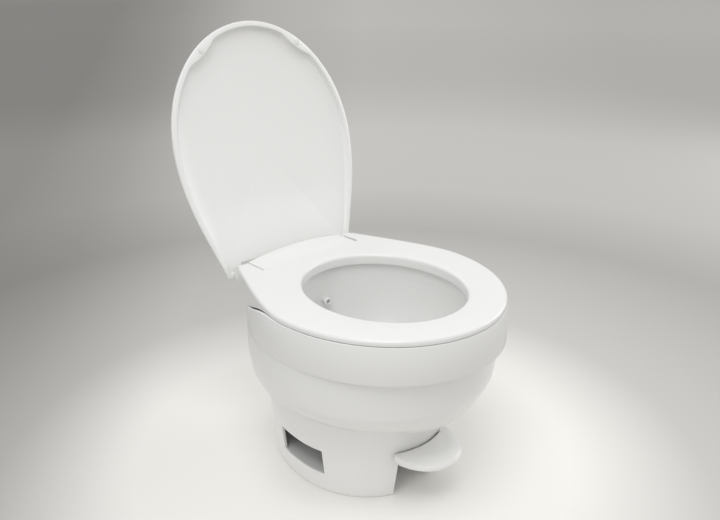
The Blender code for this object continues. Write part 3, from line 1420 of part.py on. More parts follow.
def make_nozzle():
    """A short tube through the back of the basin, with a flared mouth inside."""
    z = nozzle_z()
    back = HINGE_Y - BREAKER_SETBACK - BREAKER_RADIUS - GAP
    mouth = basin_back(z) - NOZZLE_REACH
    profile = [
        (0, back), (NOZZLE_RADIUS, back), (NOZZLE_RADIUS, mouth + NOZZLE_LIP * 2), (NOZZLE_FLARE, mouth + NOZZLE_LIP),
        (NOZZLE_FLARE, mouth), (NOZZLE_RADIUS * 0.7, mouth), (NOZZLE_RADIUS * 0.7, mouth + NOZZLE_LIP * 2),
        (0, mouth + NOZZLE_LIP * 2),
    ]
    return place("flush_nozzle", turned(profile, (0, 1, 0), (0, 0, z), 16), "basin")


def smooth_route(points, spacing):
    """Points at about an even spacing on a smooth curve through the given ones, straight at both ends."""
    route = [Vector(p) for p in points]
    ahead = [(b - a).normalized() for a, b in zip(route, route[1:])]
    turns = [ahead[0]] + [(a + b).normalized() for a, b in zip(ahead, ahead[1:])] + [ahead[-1]]
    out = []
    for i, (start, end) in enumerate(zip(route, route[1:])):
        length = (end - start).length
        count = max(1, round(length / spacing))
        for k in range(count):
            t = k / count
            leave, arrive = turns[i] * length, turns[i + 1] * length
            out.append(
                start * (2 * t**3 - 3 * t * t + 1) + leave * (t**3 - 2 * t * t + t)
                + end * (3 * t * t - 2 * t**3) + arrive * (t**3 - t * t)
            )
    return out + [route[-1]]


def tube(name, points, radius, finish, resolution=2):
    curve = bpy.data.curves.new(name, "CURVE")
    curve.dimensions = "3D"
    curve.bevel_depth = radius
    curve.bevel_resolution = resolution
    curve.use_fill_caps = True
    spline = curve.splines.new("POLY")
    spline.points.add(len(points) - 1)
    for point, place_at in zip(spline.points, points):
        point.co = (*place_at, 1)
    made = bpy.data.objects.new(name, curve)
    curve.materials.append(material(name, *FINISHES[finish]))
    bpy.context.scene.collection.objects.link(made)
    return made


def make_tubes():
    x, y = valve_place()
    port_end = y + VALVE_RADIUS + PORT_LENGTH + GAP
    z = valve_port_z()
    inlet = inlet_face() - INLET_INSIDE
    out = HOUSING_RADIUS + FLANGE_WIDTH * 2.7
    supply = [
        (0, inlet, INLET_Z),
        (0, inlet - TUBE_RADIUS * 2, INLET_Z),
        (-out * 0.45, inlet - TUBE_RADIUS * 7, INLET_Z),
        (-out * 0.9, OUTLET_Y + HOUSING_RADIUS, INLET_Z + (z - INLET_Z) * 0.3),
        (-out, OUTLET_Y, INLET_Z + (z - INLET_Z) * 0.5),
        (-out * 0.9, OUTLET_Y - HOUSING_RADIUS, INLET_Z + (z - INLET_Z) * 0.85),
        (x, port_end + TUBE_RADIUS * 2, z),
        (x, port_end, z),
    ]
    top = SHAFT_Z + CHEEK_RISE + GAP + VALVE_HEIGHT + PORT_LENGTH + GAP
    breaker_y = HINGE_Y - BREAKER_SETBACK
    breaker_x = BREAKER_RADIUS + GAP
    breaker_z = DECK_TOP - DECK_THICKNESS - BREAKER_HEIGHT * 0.7
    around = BAND_HALF * 0.76
    rise = breaker_z - top
    rinse = [
        (x, y, top),
        (x, y, top + TUBE_RADIUS * 2),
        (x * 1.5, y * 0.85, top + rise * 0.30),
        (-around * 0.9, y * 0.2, top + rise * 0.52),
        (-around, OUTLET_Y, top + rise * 0.70),
        (-around * 0.88, breaker_y * 0.55, top + rise * 0.88),
        (-around * 0.58, breaker_y * 0.87, breaker_z),
        (-breaker_x - TUBE_RADIUS * 2, breaker_y, breaker_z),
        (-breaker_x, breaker_y, breaker_z),
    ]
    spacing = TUBE_RADIUS * 5
    return [
        tube("supply_tube", smooth_route(supply, spacing), TUBE_RADIUS, "tube"),
        tube("rinse_tube", smooth_route(rinse, spacing), TUBE_RADIUS, "tube"),
    ]


# Floor fastening
def make_floor_fastening():
    made = []
    up = (0, 0, 1)
    for side in (1, -1):
        word = side_name(side)
        centre = (side * FLOOR_BOLT_X, OUTLET_Y, 0)
        washer_low = LEDGE_TOP + GAP
        nut_low = washer_low + WASHER_THICKNESS + GAP
        bolt = rod(FLOOR_BOLT_RADIUS, GAP, LEDGE_TOP + FLOOR_BOLT_RISE, up, centre)
        washer = ring(
            WASHER_RADIUS, FLOOR_BOLT_RADIUS + GAP, washer_low, washer_low + WASHER_THICKNESS, up, centre, 16
        )
        nut = nut_body(FLOOR_NUT_RADIUS, FLOOR_BOLT_RADIUS, nut_low, nut_low + FLOOR_NUT_HEIGHT, centre)
        made.append(place(f"floor_bolt_{word}", bolt, "brass"))
        made.append(place(f"floor_washer_{word}", washer, "steel"))
        made.append(place(f"floor_nut_{word}", nut, "brass", smooth=False))
    return made


def empty(name, location, parent=None):
    made = bpy.data.objects.new(name, None)
    bpy.context.scene.collection.objects.link(made)
    made.location = location
    made.parent = parent
    return made


def carry(pieces, parent):
    """Parents pieces to an empty that stands on their joint's axis, without moving them."""
    shift = Matrix.Translation(-parent.location)
    for piece in pieces:
        helpers = [m.object for m in piece.modifiers if m.type == "BOOLEAN"]
        for each in [piece, *helpers]:
            each.data.transform(shift)
            each.parent = parent


def main():
    for each in list(bpy.data.objects):
        bpy.data.objects.remove(each, do_unlink=True)
    frame = empty("frame", (0, 0, 0))
    bowl = make_bowl_shell()
    base = [make_pedestal(), bowl, make_liner(), make_cover(), make_inlet(), make_breaker(), make_nozzle()]
    base += make_hinge_hardware() + make_bowl_screws() + make_outlet() + make_tubes() + make_floor_fastening()
    shaft, valve_cam, bushes = make_shaft_group()
    valve, plunger = make_water_valve()
    base += bushes + [valve, make_spring()]
    carry(base, frame)
    seat_hinge = empty("seat_hinge", (0, HINGE_Y, HINGE_Z), frame)
    carry([make_seat()] + make_seat_bumpers(), seat_hinge)
    lid, bumpers = make_lid(frame)
    pedal_hinge = empty("pedal_hinge", (0, SHAFT_Y, SHAFT_Z), frame)
    carry([make_pedal(), shaft, valve_cam, make_sector()], pedal_hinge)
    ball_axle = empty("ball_axle", (0, OUTLET_Y, BALL_Z), frame)
    carry([make_ball(), make_pinion()], ball_axle)
    x, y = valve_place()
    carry([plunger], empty("plunger_slide", (x, y, SHAFT_Z), frame))
    bpy.context.view_layer.update()
    depths = [(each.matrix_world @ v.co).y for each in (bowl, lid) for v in each.data.vertices]
    frame.location = (0, -(min(depths) + max(depths)) / 2, 0)


main()
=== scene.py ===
import json
from math import acos, asin, atan2, cos, hypot, pi, radians, sin, sqrt, tan, tau

import bmesh
import bpy
from mathutils import Matrix, Vector


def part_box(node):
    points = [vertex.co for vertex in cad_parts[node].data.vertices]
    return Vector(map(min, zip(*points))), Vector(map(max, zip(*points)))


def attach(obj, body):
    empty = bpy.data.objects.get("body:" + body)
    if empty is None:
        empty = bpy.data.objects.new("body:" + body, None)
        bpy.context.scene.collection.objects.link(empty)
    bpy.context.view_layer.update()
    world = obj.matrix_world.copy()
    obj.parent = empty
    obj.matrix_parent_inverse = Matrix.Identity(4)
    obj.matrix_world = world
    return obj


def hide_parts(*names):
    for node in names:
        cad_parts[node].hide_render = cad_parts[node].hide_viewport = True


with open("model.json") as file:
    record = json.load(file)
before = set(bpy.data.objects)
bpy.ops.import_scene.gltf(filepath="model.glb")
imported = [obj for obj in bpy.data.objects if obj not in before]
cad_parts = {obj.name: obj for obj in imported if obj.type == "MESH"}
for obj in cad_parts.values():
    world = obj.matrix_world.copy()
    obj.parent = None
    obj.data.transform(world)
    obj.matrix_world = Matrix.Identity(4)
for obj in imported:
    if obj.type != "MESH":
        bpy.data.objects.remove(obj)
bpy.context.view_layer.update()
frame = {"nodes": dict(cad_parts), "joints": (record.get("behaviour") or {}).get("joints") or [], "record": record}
print("frame loaded:", len(frame["nodes"]), "nodes")

joints = {joint["name"]: joint for joint in frame["joints"]}
lidOpen = radians(-joints["lid_hinge"]["range_deg"][0])
seatOpen = radians(joints["seat_hinge"]["range_deg"][1])

# Lengths are in metres. Plan places are measured from the line where the seat is widest, and settle()
# shifts them to their place in the frame.
hinge = {"y": 0.203, "z": 0.326, "knuckle": 0.016}
shift = Matrix.Translation((0, joints["seat_hinge"]["pos_m"][1] - hinge["y"], 0))
hairGap = 0.0003


# Nodes for shaders and for geometry
class Wire:  # a socket that can be added, multiplied and so on
    def __init__(self, recipe, made, out):
        self.recipe, self.made = recipe, made
        self.socket = made.outputs[out]

    def of(self, out):  # another output of the same node
        return Wire(self.recipe, self.made, out)

    def maths(self, operation, *values):
        return self.recipe.node("ShaderNodeMath", {"operation": operation}, dict(enumerate(values)))

    def __add__(self, other):
        return self.maths("ADD", self, other)

    def __sub__(self, other):
        return self.maths("SUBTRACT", self, other)

    def __rsub__(self, other):
        return self.maths("SUBTRACT", other, self)

    def __mul__(self, other):
        return self.maths("MULTIPLY", self, other)

    def __truediv__(self, other):
        return self.maths("DIVIDE", self, other)

    def __rtruediv__(self, other):
        return self.maths("DIVIDE", other, self)

    def __pow__(self, other):
        return self.maths("POWER", self.maths("MAXIMUM", self, 0.0), other)

    __radd__ = __add__
    __rmul__ = __mul__


class Recipe:  # a node tree while it is written
    def __init__(self, tree):
        self.tree = tree

    def node(self, kind, settings=None, sockets=None, out=0):
        made = self.tree.nodes.new(kind)
        for name, value in (settings or {}).items():
            if name == "stops":
                elements = made.color_ramp.elements
                for place, shade in value[1:-1]:
                    elements.new(place)
                for element, (place, shade) in zip(elements, value):
                    element.position = place
                    element.color = (shade, shade, shade, 1)
            else:
                setattr(made, name, value)
        for name, value in (sockets or {}).items():
            if isinstance(value, Wire):
                self.tree.links.new(value.socket, made.inputs[name])
            else:
                made.inputs[name].default_value = value
        return Wire(self, made, out) if made.outputs else made

    def feed(self, made, wires):
        for name, wire in wires.items():
            self.tree.links.new(wire.socket, made.inputs[name])

    def mixColour(self, share, low, high, blend="MIX"):
        low, high = (end if isinstance(end, Wire) else (*end, 1) for end in (low, high))
        settings = {"data_type": "RGBA", "blend_type": blend}
        return self.node("ShaderNodeMix", settings, {0: share, 6: low, 7: high}, 2)

    def noise(self, where, scale, detail=2.0):
        sockets = {"Vector": where, "Scale": scale, "Detail": detail}
        return self.node("ShaderNodeTexNoise", None, sockets)

    def stretched(self, where, scale):
        return self.node("ShaderNodeMapping", None, {"Vector": where, "Scale": scale})


# Finishes
plastic = {
    "cloud": 5.0, "handling": 30.0, "skin": 420.0, "wave": 9.0, "cloudShare": 0.7, "waveShare": 6.0,
    "roughRange": 0.08, "coatRoughness": 0.12,
}
metal = {"scale": 900.0, "cloud": 45.0, "roughRange": 0.25}
looks = {}


def newMaterial(name, constants):
    made = bpy.data.materials.new(name)
    made.use_nodes = True
    shader = made.node_tree.nodes["Principled BSDF"]
    for socket, value in constants.items():
        shader.inputs[socket].default_value = value
    recipe = Recipe(made.node_tree)
    return made, shader, recipe, recipe.node("ShaderNodeTexCoord", None, None, "Object")


def finish(name, roughness, metallic, write, coat=0.0):
    constants = {"Metallic": metallic, "Coat Weight": coat, "Coat Roughness": plastic["coatRoughness"]}
    looks[name], shader, recipe, where = newMaterial(name, constants)
    colour, rough, height, depth = write(recipe, where, roughness)
    bump = recipe.node("ShaderNodeBump", None, {"Strength": 1.0, "Distance": depth, "Height": height})
    recipe.feed(shader, {"Base Color": colour, "Roughness": rough, "Normal": bump})


def moulded(low, high, depth):  # glossy plastic: a faint cloud, handled patches and the mould's fine skin
    def write(recipe, where, roughness):
        cloud = recipe.noise(where, plastic["cloud"], 3.0)
        handled = recipe.noise(where, plastic["handling"], 4.0)
        skin = recipe.noise(where, plastic["skin"], 2.0)
        wave = recipe.noise(where, plastic["wave"], 1.0)
        share = cloud * plastic["cloudShare"] + handled * (1 - plastic["cloudShare"])
        rough = roughness + (handled - 0.5) * plastic["roughRange"]
        return recipe.mixColour(share, low, high), rough, wave * plastic["waveShare"] + skin, depth

    return write


def grained(low, high, depth, scale, cloud=30.0, roughRange=0.2, along=None):  # fine grain, or drawn lines
    def write(recipe, where, roughness):
        grain = recipe.noise(recipe.stretched(where, along) if along else where, scale, 3.0)
        rough = roughness + (grain - 0.5) * roughRange
        return recipe.mixColour(recipe.noise(where, cloud, 3.0), low, high), rough, grain, depth

    return write


finish("whiteShell", 0.30, 0.0, moulded((0.770, 0.768, 0.752), (0.795, 0.795, 0.785), 0.000005), coat=0.25)
finish("whiteBasin", 0.16, 0.0, moulded((0.79, 0.79, 0.775), (0.82, 0.82, 0.81), 0.000004), coat=0.5)
finish("softPad", 0.55, 0.0, grained((0.70, 0.70, 0.685), (0.75, 0.75, 0.735), 0.00002, 500.0))
finish("blackRubber", 0.62, 0.0, grained((0.018, 0.018, 0.019), (0.04, 0.04, 0.041), 0.00005, 700.0))
finish("greyNylon", 0.42, 0.0, grained((0.21, 0.215, 0.22), (0.26, 0.265, 0.27), 0.00003, 1300.0))
finish("milkyHose", 0.33, 0.0, grained((0.52, 0.55, 0.54), (0.62, 0.65, 0.64), 0.00003, 300.0))
steel = grained((0.52, 0.52, 0.53), (0.64, 0.64, 0.65), 0.00001, along=(0.08, 1.0, 1.0), **metal)
brass = grained((0.56, 0.40, 0.17), (0.72, 0.55, 0.27), 0.00001, along=(1.0, 1.0, 0.1), **metal)
finish("drawnSteel", 0.30, 1.0, steel)
finish("turnedBrass", 0.32, 1.0, brass)
slotLooks = {
    "shell": "whiteShell", "basin": "whiteBasin", "pad": "softPad", "rubber": "blackRubber",
    "grey": "greyNylon", "tube": "milkyHose", "steel": "drawnSteel", "brass": "turnedBrass",
}
for row in frame["record"]["subparts"]:  # the CAD nodes that stay get the same finishes
    node = frame["nodes"][row["node"]]
    node.data.materials.clear()
    node.data.materials.append(looks[slotLooks[row["material_slot"]]])
print("finishes:", len(looks))


# Curves and outlines
def mixed(a, b, share):
    return a + (b - a) * share


def smoothStep(value, start, end):
    share = min(max((value - start) / (end - start), 0), 1)
    return share * share * (3 - 2 * share)


def capped(value, limit, rounding):  # min(value, limit) with a soft corner
    share = min(max((value - limit + rounding) / (2 * rounding), 0), 1)
    return limit if share == 1 else value - rounding * share * share


def smoothThrough(keys, values, at):  # a smooth curve through the pairs that never overshoots them
    steps = [(b - a) / (k - j) for j, k, a, b in zip(keys, keys[1:], values, values[1:])]
    middle = [0 if p * q <= 0 else 2 * p * q / (p + q) for p, q in zip(steps, steps[1:])]
    slopes = [steps[0]] + middle + [steps[-1]]
    i = max([j for j in range(len(keys) - 1) if at >= keys[j]] or [0])
    span = keys[i + 1] - keys[i]
    t = (at - keys[i]) / span
    start = (2 * t**3 - 3 * t * t + 1) * values[i] + (t**3 - 2 * t * t + t) * span * slopes[i]
    return start + (3 * t * t - 2 * t**3) * values[i + 1] + (t**3 - t * t) * span * slopes[i + 1]


def eased(a, corner, b, steps):  # a round corner from a to b
    out = []
    for k in range(steps + 1):
        t = k / steps
        terms = zip(a, corner, b)
        out.append(tuple((1 - t) ** 2 * p + 2 * t * (1 - t) * q + t * t * r for p, q, r in terms))
    return out


def rounded(corners, steps=5, closed=True):  # corners are (x, y, how far back the rounding starts)
    out = []
    for i, (x, y, back) in enumerate(corners):
        if not closed and i in (0, len(corners) - 1):
            out.append((x, y))
            continue
        ends = []
        for ox, oy, theirs in (corners[i - 1], corners[(i + 1) % len(corners)]):
            span = hypot(ox - x, oy - y)
            share = min(back, span * back / (back + theirs)) / span
            ends.append((mixed(x, ox, share), mixed(y, oy, share)))
        out += eased(ends[0], (x, y), ends[1], steps)
    return out


def ellipse(half, length, centre, z, count, start):
    angles = [tau * (i + start) / count for i in range(count)]
    return [(half * cos(a), centre + length * sin(a), z) for a in angles]


def oval(half, front, back, centre, count):
    out = []
    for i in range(count):
        angle = tau * (i + 0.5) / count
        reach = back - centre if sin(angle) > 0 else front + centre
        out.append((half * cos(angle), centre + reach * sin(angle)))
    return out


def earedOutline(size, detail):  # round front, sides that taper to the heel, and a straight back
    rise, bend, squeeze = size["sideShares"]
    half, widest, corner = size["half"], size["widestY"], size["corner"]
    heel = (size["heelHalf"], size["heelY"])
    run = heel[1] - widest
    handle = heel[0] + (half - heel[0]) * squeeze
    ends = ((half, widest), (half, widest + run * rise), (handle, widest + run * bend), heel)
    stop = 1 - corner / run * 0.8
    side = []
    for i in range(detail + 1):
        t = stop * i / detail
        weights = ((1 - t) ** 3, 3 * t * (1 - t) ** 2, 3 * t * t * (1 - t), t**3)
        side.append(tuple(sum(w * p[axis] for w, p in zip(weights, ends)) for axis in (0, 1)))
    flat = heel[0] - corner
    right = side[:-1] + eased(side[-1], heel, (flat, heel[1]), 6)
    straight = [(flat * (1 - 2 * i / detail), heel[1]) for i in range(1, detail)]
    left = [(-x, y) for x, y in reversed(right)]
    turns = [pi * i / (detail * 4) for i in range(1, detail * 4)]
    nose = [(-half * cos(a), widest - (size["front"] + widest) * sin(a)) for a in turns]
    return right + straight + left + nose


# Meshes
def skinned(rings, around=True, along=True, poles=None):
    bm = bmesh.new()
    rows = [[bm.verts.new(point) for point in ring] for ring in rings]
    if poles:
        rows = [[bm.verts.new(poles[0])]] + rows + [[bm.verts.new(poles[1])]]
        along = False
    pairs = list(zip(rows, rows[1:] + rows[:1])) if along else list(zip(rows, rows[1:]))
    count = len(rows[1])
    for low, high in pairs:
        for i in range(count if around else count - 1):
            j = (i + 1) % count
            loop = [low[i % len(low)], low[j % len(low)], high[j % len(high)], high[i % len(high)]]
            bm.faces.new(list(dict.fromkeys(loop)))
    return bm


def cappedLoft(rings):  # a loft with a flat cap at both ends
    bm = skinned(rings, along=False)
    bm.verts.ensure_lookup_table()
    count = len(rings[0])
    bm.faces.new(bm.verts[:count])
    bm.faces.new(bm.verts[len(bm.verts) - count:])
    return bm


def turnedRings(profile, axis, centre, count):
    along = Vector(axis)
    across = along.orthogonal().normalized()
    other = along.cross(across)
    turns = [across * cos(tau * i / count) + other * sin(tau * i / count) for i in range(count)]
    return [[Vector(centre) + along * h + turn * r for turn in turns] for r, h in profile]


def turned(profile, axis, centre, count=64):  # a closed (radius, height) profile turned about an axis
    return skinned(turnedRings(profile, axis, centre, count))


def solidTurned(profile, axis, centre, count=64):  # an open profile that starts and ends on the axis
    rings = turnedRings(profile, axis, centre, count)
    return skinned(rings[1:-1], poles=(rings[0][0], rings[-1][0]))


def roundedBox(low, high, radius, segments=3):
    bm = bmesh.new()
    bmesh.ops.create_cube(bm, size=1)
    size = Vector(high) - Vector(low)
    middle = (Vector(high) + Vector(low)) / 2
    bmesh.ops.transform(bm, matrix=Matrix.Translation(middle) @ Matrix.Diagonal((*size, 1)), verts=bm.verts)
    bmesh.ops.bevel(bm, geom=bm.edges[:], offset=radius, segments=segments, profile=0.5, affect="EDGES")
    return bm


def sidePair(x, y, z, radius, segments):  # the same box on the right and on the left
    spans = [sorted((side * x[0], side * x[1])) for side in (1, -1)]
    return [roundedBox((low, y[0], z[0]), (high, y[1], z[1]), radius, segments) for low, high in spans]


def meshOf(bm, name="shell"):
    mesh = bpy.data.meshes.new(name)
    bm.to_mesh(mesh)
    bm.free()
    return mesh


def shellsOf(mesh):
    bm = bmesh.new()
    bm.from_mesh(mesh)
    return bm


def joined(shells):
    first, *others = shells
    for other in others:
        mesh = meshOf(other)
        first.from_mesh(mesh)
        bpy.data.meshes.remove(mesh)
    return first


def outward(bm):
    bmesh.ops.recalc_face_normals(bm, faces=bm.faces[:])
    if bm.calc_volume(signed=True) < 0:
        bmesh.ops.reverse_faces(bm, faces=bm.faces[:])
    return bm


def linked(name, data):
    made = bpy.data.objects.new(name, data)
    bpy.context.scene.collection.objects.link(made)
    return made


def looseObject(name, bm):
    return linked(name, meshOf(outward(bm), name))


def evaluated(piece):
    bpy.context.view_layer.update()
    graph = bpy.context.evaluated_depsgraph_get()
    return bpy.data.meshes.new_from_object(piece.evaluated_get(graph))


def baked(made):  # applies the modifiers and removes what they used
    mesh = evaluated(made)
    helpers = [m.object for m in made.modifiers if m.type == "BOOLEAN"]
    made.modifiers.clear()
    made.data = mesh
    for helper in helpers:
        bpy.data.objects.remove(helper)
    return made


def carved(made, bm):
    modifier = made.modifiers.new("carve", "BOOLEAN")
    modifier.operation = "DIFFERENCE"
    modifier.object = looseObject("cutter", bm)
    return baked(made)


def withIslands(made, shells):  # joins closed shells to a piece without a union
    bm = joined([shellsOf(made.data)] + [outward(shell) for shell in shells])
    bm.to_mesh(made.data)
    bm.free()
    return made


def settle(made, body, slot, nodes, sharp=38, pose=None):
    made.data.transform(shift @ (pose or Matrix.Identity(4)))
    made.data.materials.clear()
    made.data.materials.append(looks[slotLooks[slot]])
    for polygon in made.data.polygons:
        polygon.material_index = 0
    made.data.shade_smooth()
    made.data.set_sharp_from_angle(angle=radians(sharp))
    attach(made, body)
    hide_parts(*nodes)


# The bowl's rim, which the seat's wall follows
seatSize = {
    "half": 0.192, "front": 0.215, "widestY": 0.0, "heelHalf": 0.128, "heelY": 0.199, "corner": 0.004,
    "sideShares": (0.25, 0.72, 0.343), "top": 0.343, "ring": 0.0195, "flare": 0.004, "wall": 0.005,
    "crown": 0.0006, "round": 0.0062, "lip": 0.0062, "openHalf": 0.123, "openLength": 0.1415,
    "openY": -0.0185,
}
rim = {
    "top": 0.333, "low": 0.2965, "deck": 0.281, "step": 0.002, "slopeStart": 0.030, "slopeEnd": 0.170,
    "slopeEase": 0.01, "gap": 0.001,
}
linerTop = 0.298


def rimHeight(y):
    slope = mixed(rim["top"], rim["low"], smoothStep(y, rim["slopeStart"], rim["slopeEnd"]))
    drop = smoothStep(y, rim["slopeEnd"], rim["slopeEnd"] + rim["slopeEase"])
    return slope + (rim["deck"] - rim["step"] - rim["low"]) * drop


def wallFoot(y):
    return max(rimHeight(y), rim["low"]) + rim["gap"]


cover = {
    "half": 0.1036, "front": 0.042, "back": 0.006, "crown": 0.009, "edge": 0.0016, "ease": 0.0026,
    "bulge": 0.012, "slot": 0.0038, "clearance": 0.0012,
}
coverRadius = hypot(cover["front"], seatSize["top"] - hinge["z"])


def coverTop(x, y):  # level with the seat at its front and its ends, raised towards the middle of its back
    across = min(abs(x) / cover["half"], 1)
    along = smoothStep(y, hinge["y"] - cover["front"], hinge["y"])
    return seatSize["top"] + cover["crown"] * (1 - across * across) * along


def aboutHinge(radius, turns):  # (y, z) points round the hinge's axis
    return [(hinge["y"] + radius * cos(a), hinge["z"] + radius * sin(a)) for a in turns]


def seatRoom():  # room for the cover in the seat, round in front and open behind
    half = cover["half"] + cover["slot"]
    radius = coverRadius + cover["clearance"]
    behind = hinge["y"] + coverRadius * 2
    arc = aboutHinge(radius, [pi * (0.5 + i / 60) for i in range(61)])
    section = [(behind, hinge["z"] + radius), *arc, (behind, hinge["z"] - radius)]
    return cappedLoft([[(x, y, z) for y, z in section] for x in (-half, half)])


def lidRoom():  # room for the cover in the lid's heel, also once the seat has carried the lid right over
    over = lidOpen + seatOpen - pi
    rise, behind, count = lidSize["dome"] * 3, hinge["y"] + coverRadius * 2, 24
    rings = []
    for step in range(count + 1):
        x = (cover["half"] + hairGap) * (2 * step / count - 1)
        radius = hypot(cover["back"], coverTop(x, hinge["y"]) - hinge["z"]) + cover["clearance"]
        last = acos((cover["back"] + cover["clearance"]) / radius) - over
        turns = [mixed(-pi / 2, last, i / 48) for i in range(49)]
        arc = [(x, hinge["y"] - radius * cos(a), hinge["z"] + radius * sin(a)) for a in turns]
        top = hinge["z"] + radius * sin(last) + rise
        lean = (x, hinge["y"] - radius * cos(last) - rise * tan(over), top)
        rings.append([*arc, lean, (x, behind, top), (x, behind, hinge["z"] - radius)])
    return cappedLoft(rings)


# Seat
def seatSection(outer):
    size = seatSize
    dx, dy = outer[0], outer[1] - size["openY"]
    reach = 1 / hypot(dx / size["openHalf"], dy / size["openLength"])
    ix, iy = dx * reach, size["openY"] + dy * reach
    span = hypot(outer[0] - ix, outer[1] - iy)
    dx, dy = (outer[0] - ix) / span, (outer[1] - iy) / span
    edge, wall, top = span + size["flare"], size["wall"], size["top"]
    bottom = top - size["ring"]
    corners = (
        (edge, wallFoot(iy + dy * edge), 0.0008),
        (edge, top, size["round"]),
        (span * 0.5, top + size["crown"], span * 0.25),
        (0, top - size["crown"], size["lip"]),
        (size["lip"] * 0.16, bottom, 0.0014),
        (wall, bottom, 0.0012),
        (wall * 1.4, top - wall, 0.003),
        (edge - wall * 1.4, top - wall, 0.003),
        (edge - wall, wallFoot(iy + dy * (edge - wall)), 0.0008),
    )
    return [(ix + dx * r, iy + dy * r, z) for r, z in rounded(corners, 6)]


bumper = {
    "angles": (40, 118), "radius": 0.0075, "bossRise": 0.0075, "chamfer": 0.0009, "toe": 0.0015,
    "shoulder": 0.006, "topRadius": 0.0069, "height": 0.0071,
}


def bumperPlaces():
    half = (seatSize["half"] + seatSize["openHalf"]) / 2
    length = (seatSize["front"] + seatSize["openLength"]) / 2
    angles = [radians(angle) for angle in bumper["angles"]]
    return [(side * half * sin(a), seatSize["openY"] - length * cos(a)) for a in angles for side in (1, -1)]


def makeSeat():
    sections = [seatSection(point) for point in earedOutline(seatSize, 26)]
    seat = carved(looseObject("seat_ring", skinned(list(zip(*sections)))), seatRoom())
    sunk = 0.001
    start, end = cover["half"] + cover["slot"] - sunk, seatSize["heelHalf"] - sunk
    centre, up = (0, hinge["y"], hinge["z"]), (0, 0, 1)
    profile = [(0, start), (hinge["knuckle"], start), (hinge["knuckle"], end), (0, end)]
    shells = [solidTurned(profile, (side, 0, 0), centre) for side in (1, -1)]
    radius, chamfer, foot = bumper["radius"], bumper["chamfer"], linerTop + hairGap
    low, high = linerTop + bumper["bossRise"] + hairGap, seatSize["top"] - seatSize["wall"] / 2
    boss = [(0, low), (radius - chamfer, low), (radius, low + chamfer), (radius, high), (0, high)]
    shells += [solidTurned(boss, up, (x, y, 0), 32) for x, y in bumperPlaces()]
    settle(withIslands(seat, shells), "seat", "shell", ["seat"])
    pad = [
        (0, foot), (radius - bumper["toe"], foot), (radius, foot + bumper["toe"]),
        (radius, foot + bumper["shoulder"]), (bumper["topRadius"], foot + bumper["height"]),
        (0, foot + bumper["height"]),
    ]
    pads = [solidTurned(pad, up, (x, y, 0), 32) for x, y in bumperPlaces()]
    nodes = [f"seat_bumper_{i}" for i in range(1, 5)]
    settle(looseObject("seat_bumpers", joined(pads)), "seat", "pad", nodes)


# Lid
lidSize = {
    "half": 0.188, "front": 0.218, "widestY": -0.005, "heelHalf": 0.137, "heelY": 0.209, "corner": 0.004,
    "sideShares": (0.40, 0.68, 0.40), "gap": 0.0012, "lip": 0.009, "slope": 0.002, "shell": 0.0035,
    "dome": 0.0205, "heelDome": 0.3, "domeRun": 0.12, "pad": 0.007, "padShares": (0.17, 0.055),
    "ease": 0.0012,
}
lugSize = {"radius": 0.011, "thick": 0.0024, "back": 0.0048, "reach": 0.123, "place": 0.6}
lidPad = {"radius": 0.005, "toe": 0.0007, "ease": 0.0003, "thick": 0.0006}
domeKeys = (0.0, 0.14, 0.32, 0.56, 0.80, 1.0)
domeShares = (0.0, 0.42, 0.68, 0.88, 0.98, 1.0)


def lidDome(y):
    share = smoothStep(hinge["y"] - y, 0, lidSize["domeRun"])
    return lidSize["dome"] * mixed(lidSize["heelDome"], 1, share)


def lidSection(point):  # from the middle of the top, over the edge, to the middle underneath, drawn closed
    x, y = point
    size = lidSize
    base = seatSize["top"] + size["gap"]
    span = hypot(x, y - size["widestY"])
    dome = lidDome(y)
    angle = abs(atan2(x, size["widestY"] - y)) / pi
    away = (angle - size["padShares"][0]) / size["padShares"][1]
    lip = size["lip"] + size["pad"] * max(0, 1 - away * away)

    def at(inwards, height):
        keep = 1 - inwards / span
        return x * keep, size["widestY"] + (y - size["widestY"]) * keep, base + height

    def domed(share, extra):
        height = smoothThrough(domeKeys, domeShares, share)
        _, yy, _ = at(share * span, 0)
        return at(share * span, size["shell"] + lidDome(yy) * height + extra)

    shares = [0.97 - 0.83 * i / 16 for i in range(17)]
    first = domed(shares[-1], size["shell"])[2] - base
    edgeKeys = (0, size["lip"] * 0.3, size["lip"] * 1.1, shares[-1] * span)
    shell = size["shell"]
    edgeHeights = (shell + dome * 0.08, shell * 1.6 + dome * 0.2, shell * 2 + dome * 0.3, first)
    rows = [domed(share, size["shell"]) for share in shares]
    steps = [size["lip"] * s for s in (2.0, 1.5, 1.1, 0.8, 0.55, 0.38, 0.24, 0.13, 0.05, 0.0)]
    rows += [at(s, smoothThrough(edgeKeys, edgeHeights, s)) for s in steps]
    ease = size["ease"]
    rows += [at(0, shell * 0.5), at(0, ease * 0.75), at(ease / 4, ease / 4), at(ease * 0.75, 0)]
    rows += [at(lip - ease, 0), at(lip - ease / 3, ease / 4)]
    under = domed(shares[-1], 0)[2] - base
    lipKeys = (lip, lip + size["slope"], lip + size["slope"] * 2, shares[-1] * span)
    lipHeights = (ease, shell * 0.6 + dome * 0.15, shell + dome * 0.22, under)
    steps = [lip + size["slope"] * s for s in (0, 0.25, 0.5, 0.75, 1, 1.35, 1.7, 2, 2.6, 3.4)]
    rows += [at(s, smoothThrough(lipKeys, lipHeights, s)) for s in steps]
    return rows + [domed(share, 0) for share in reversed(shares)]


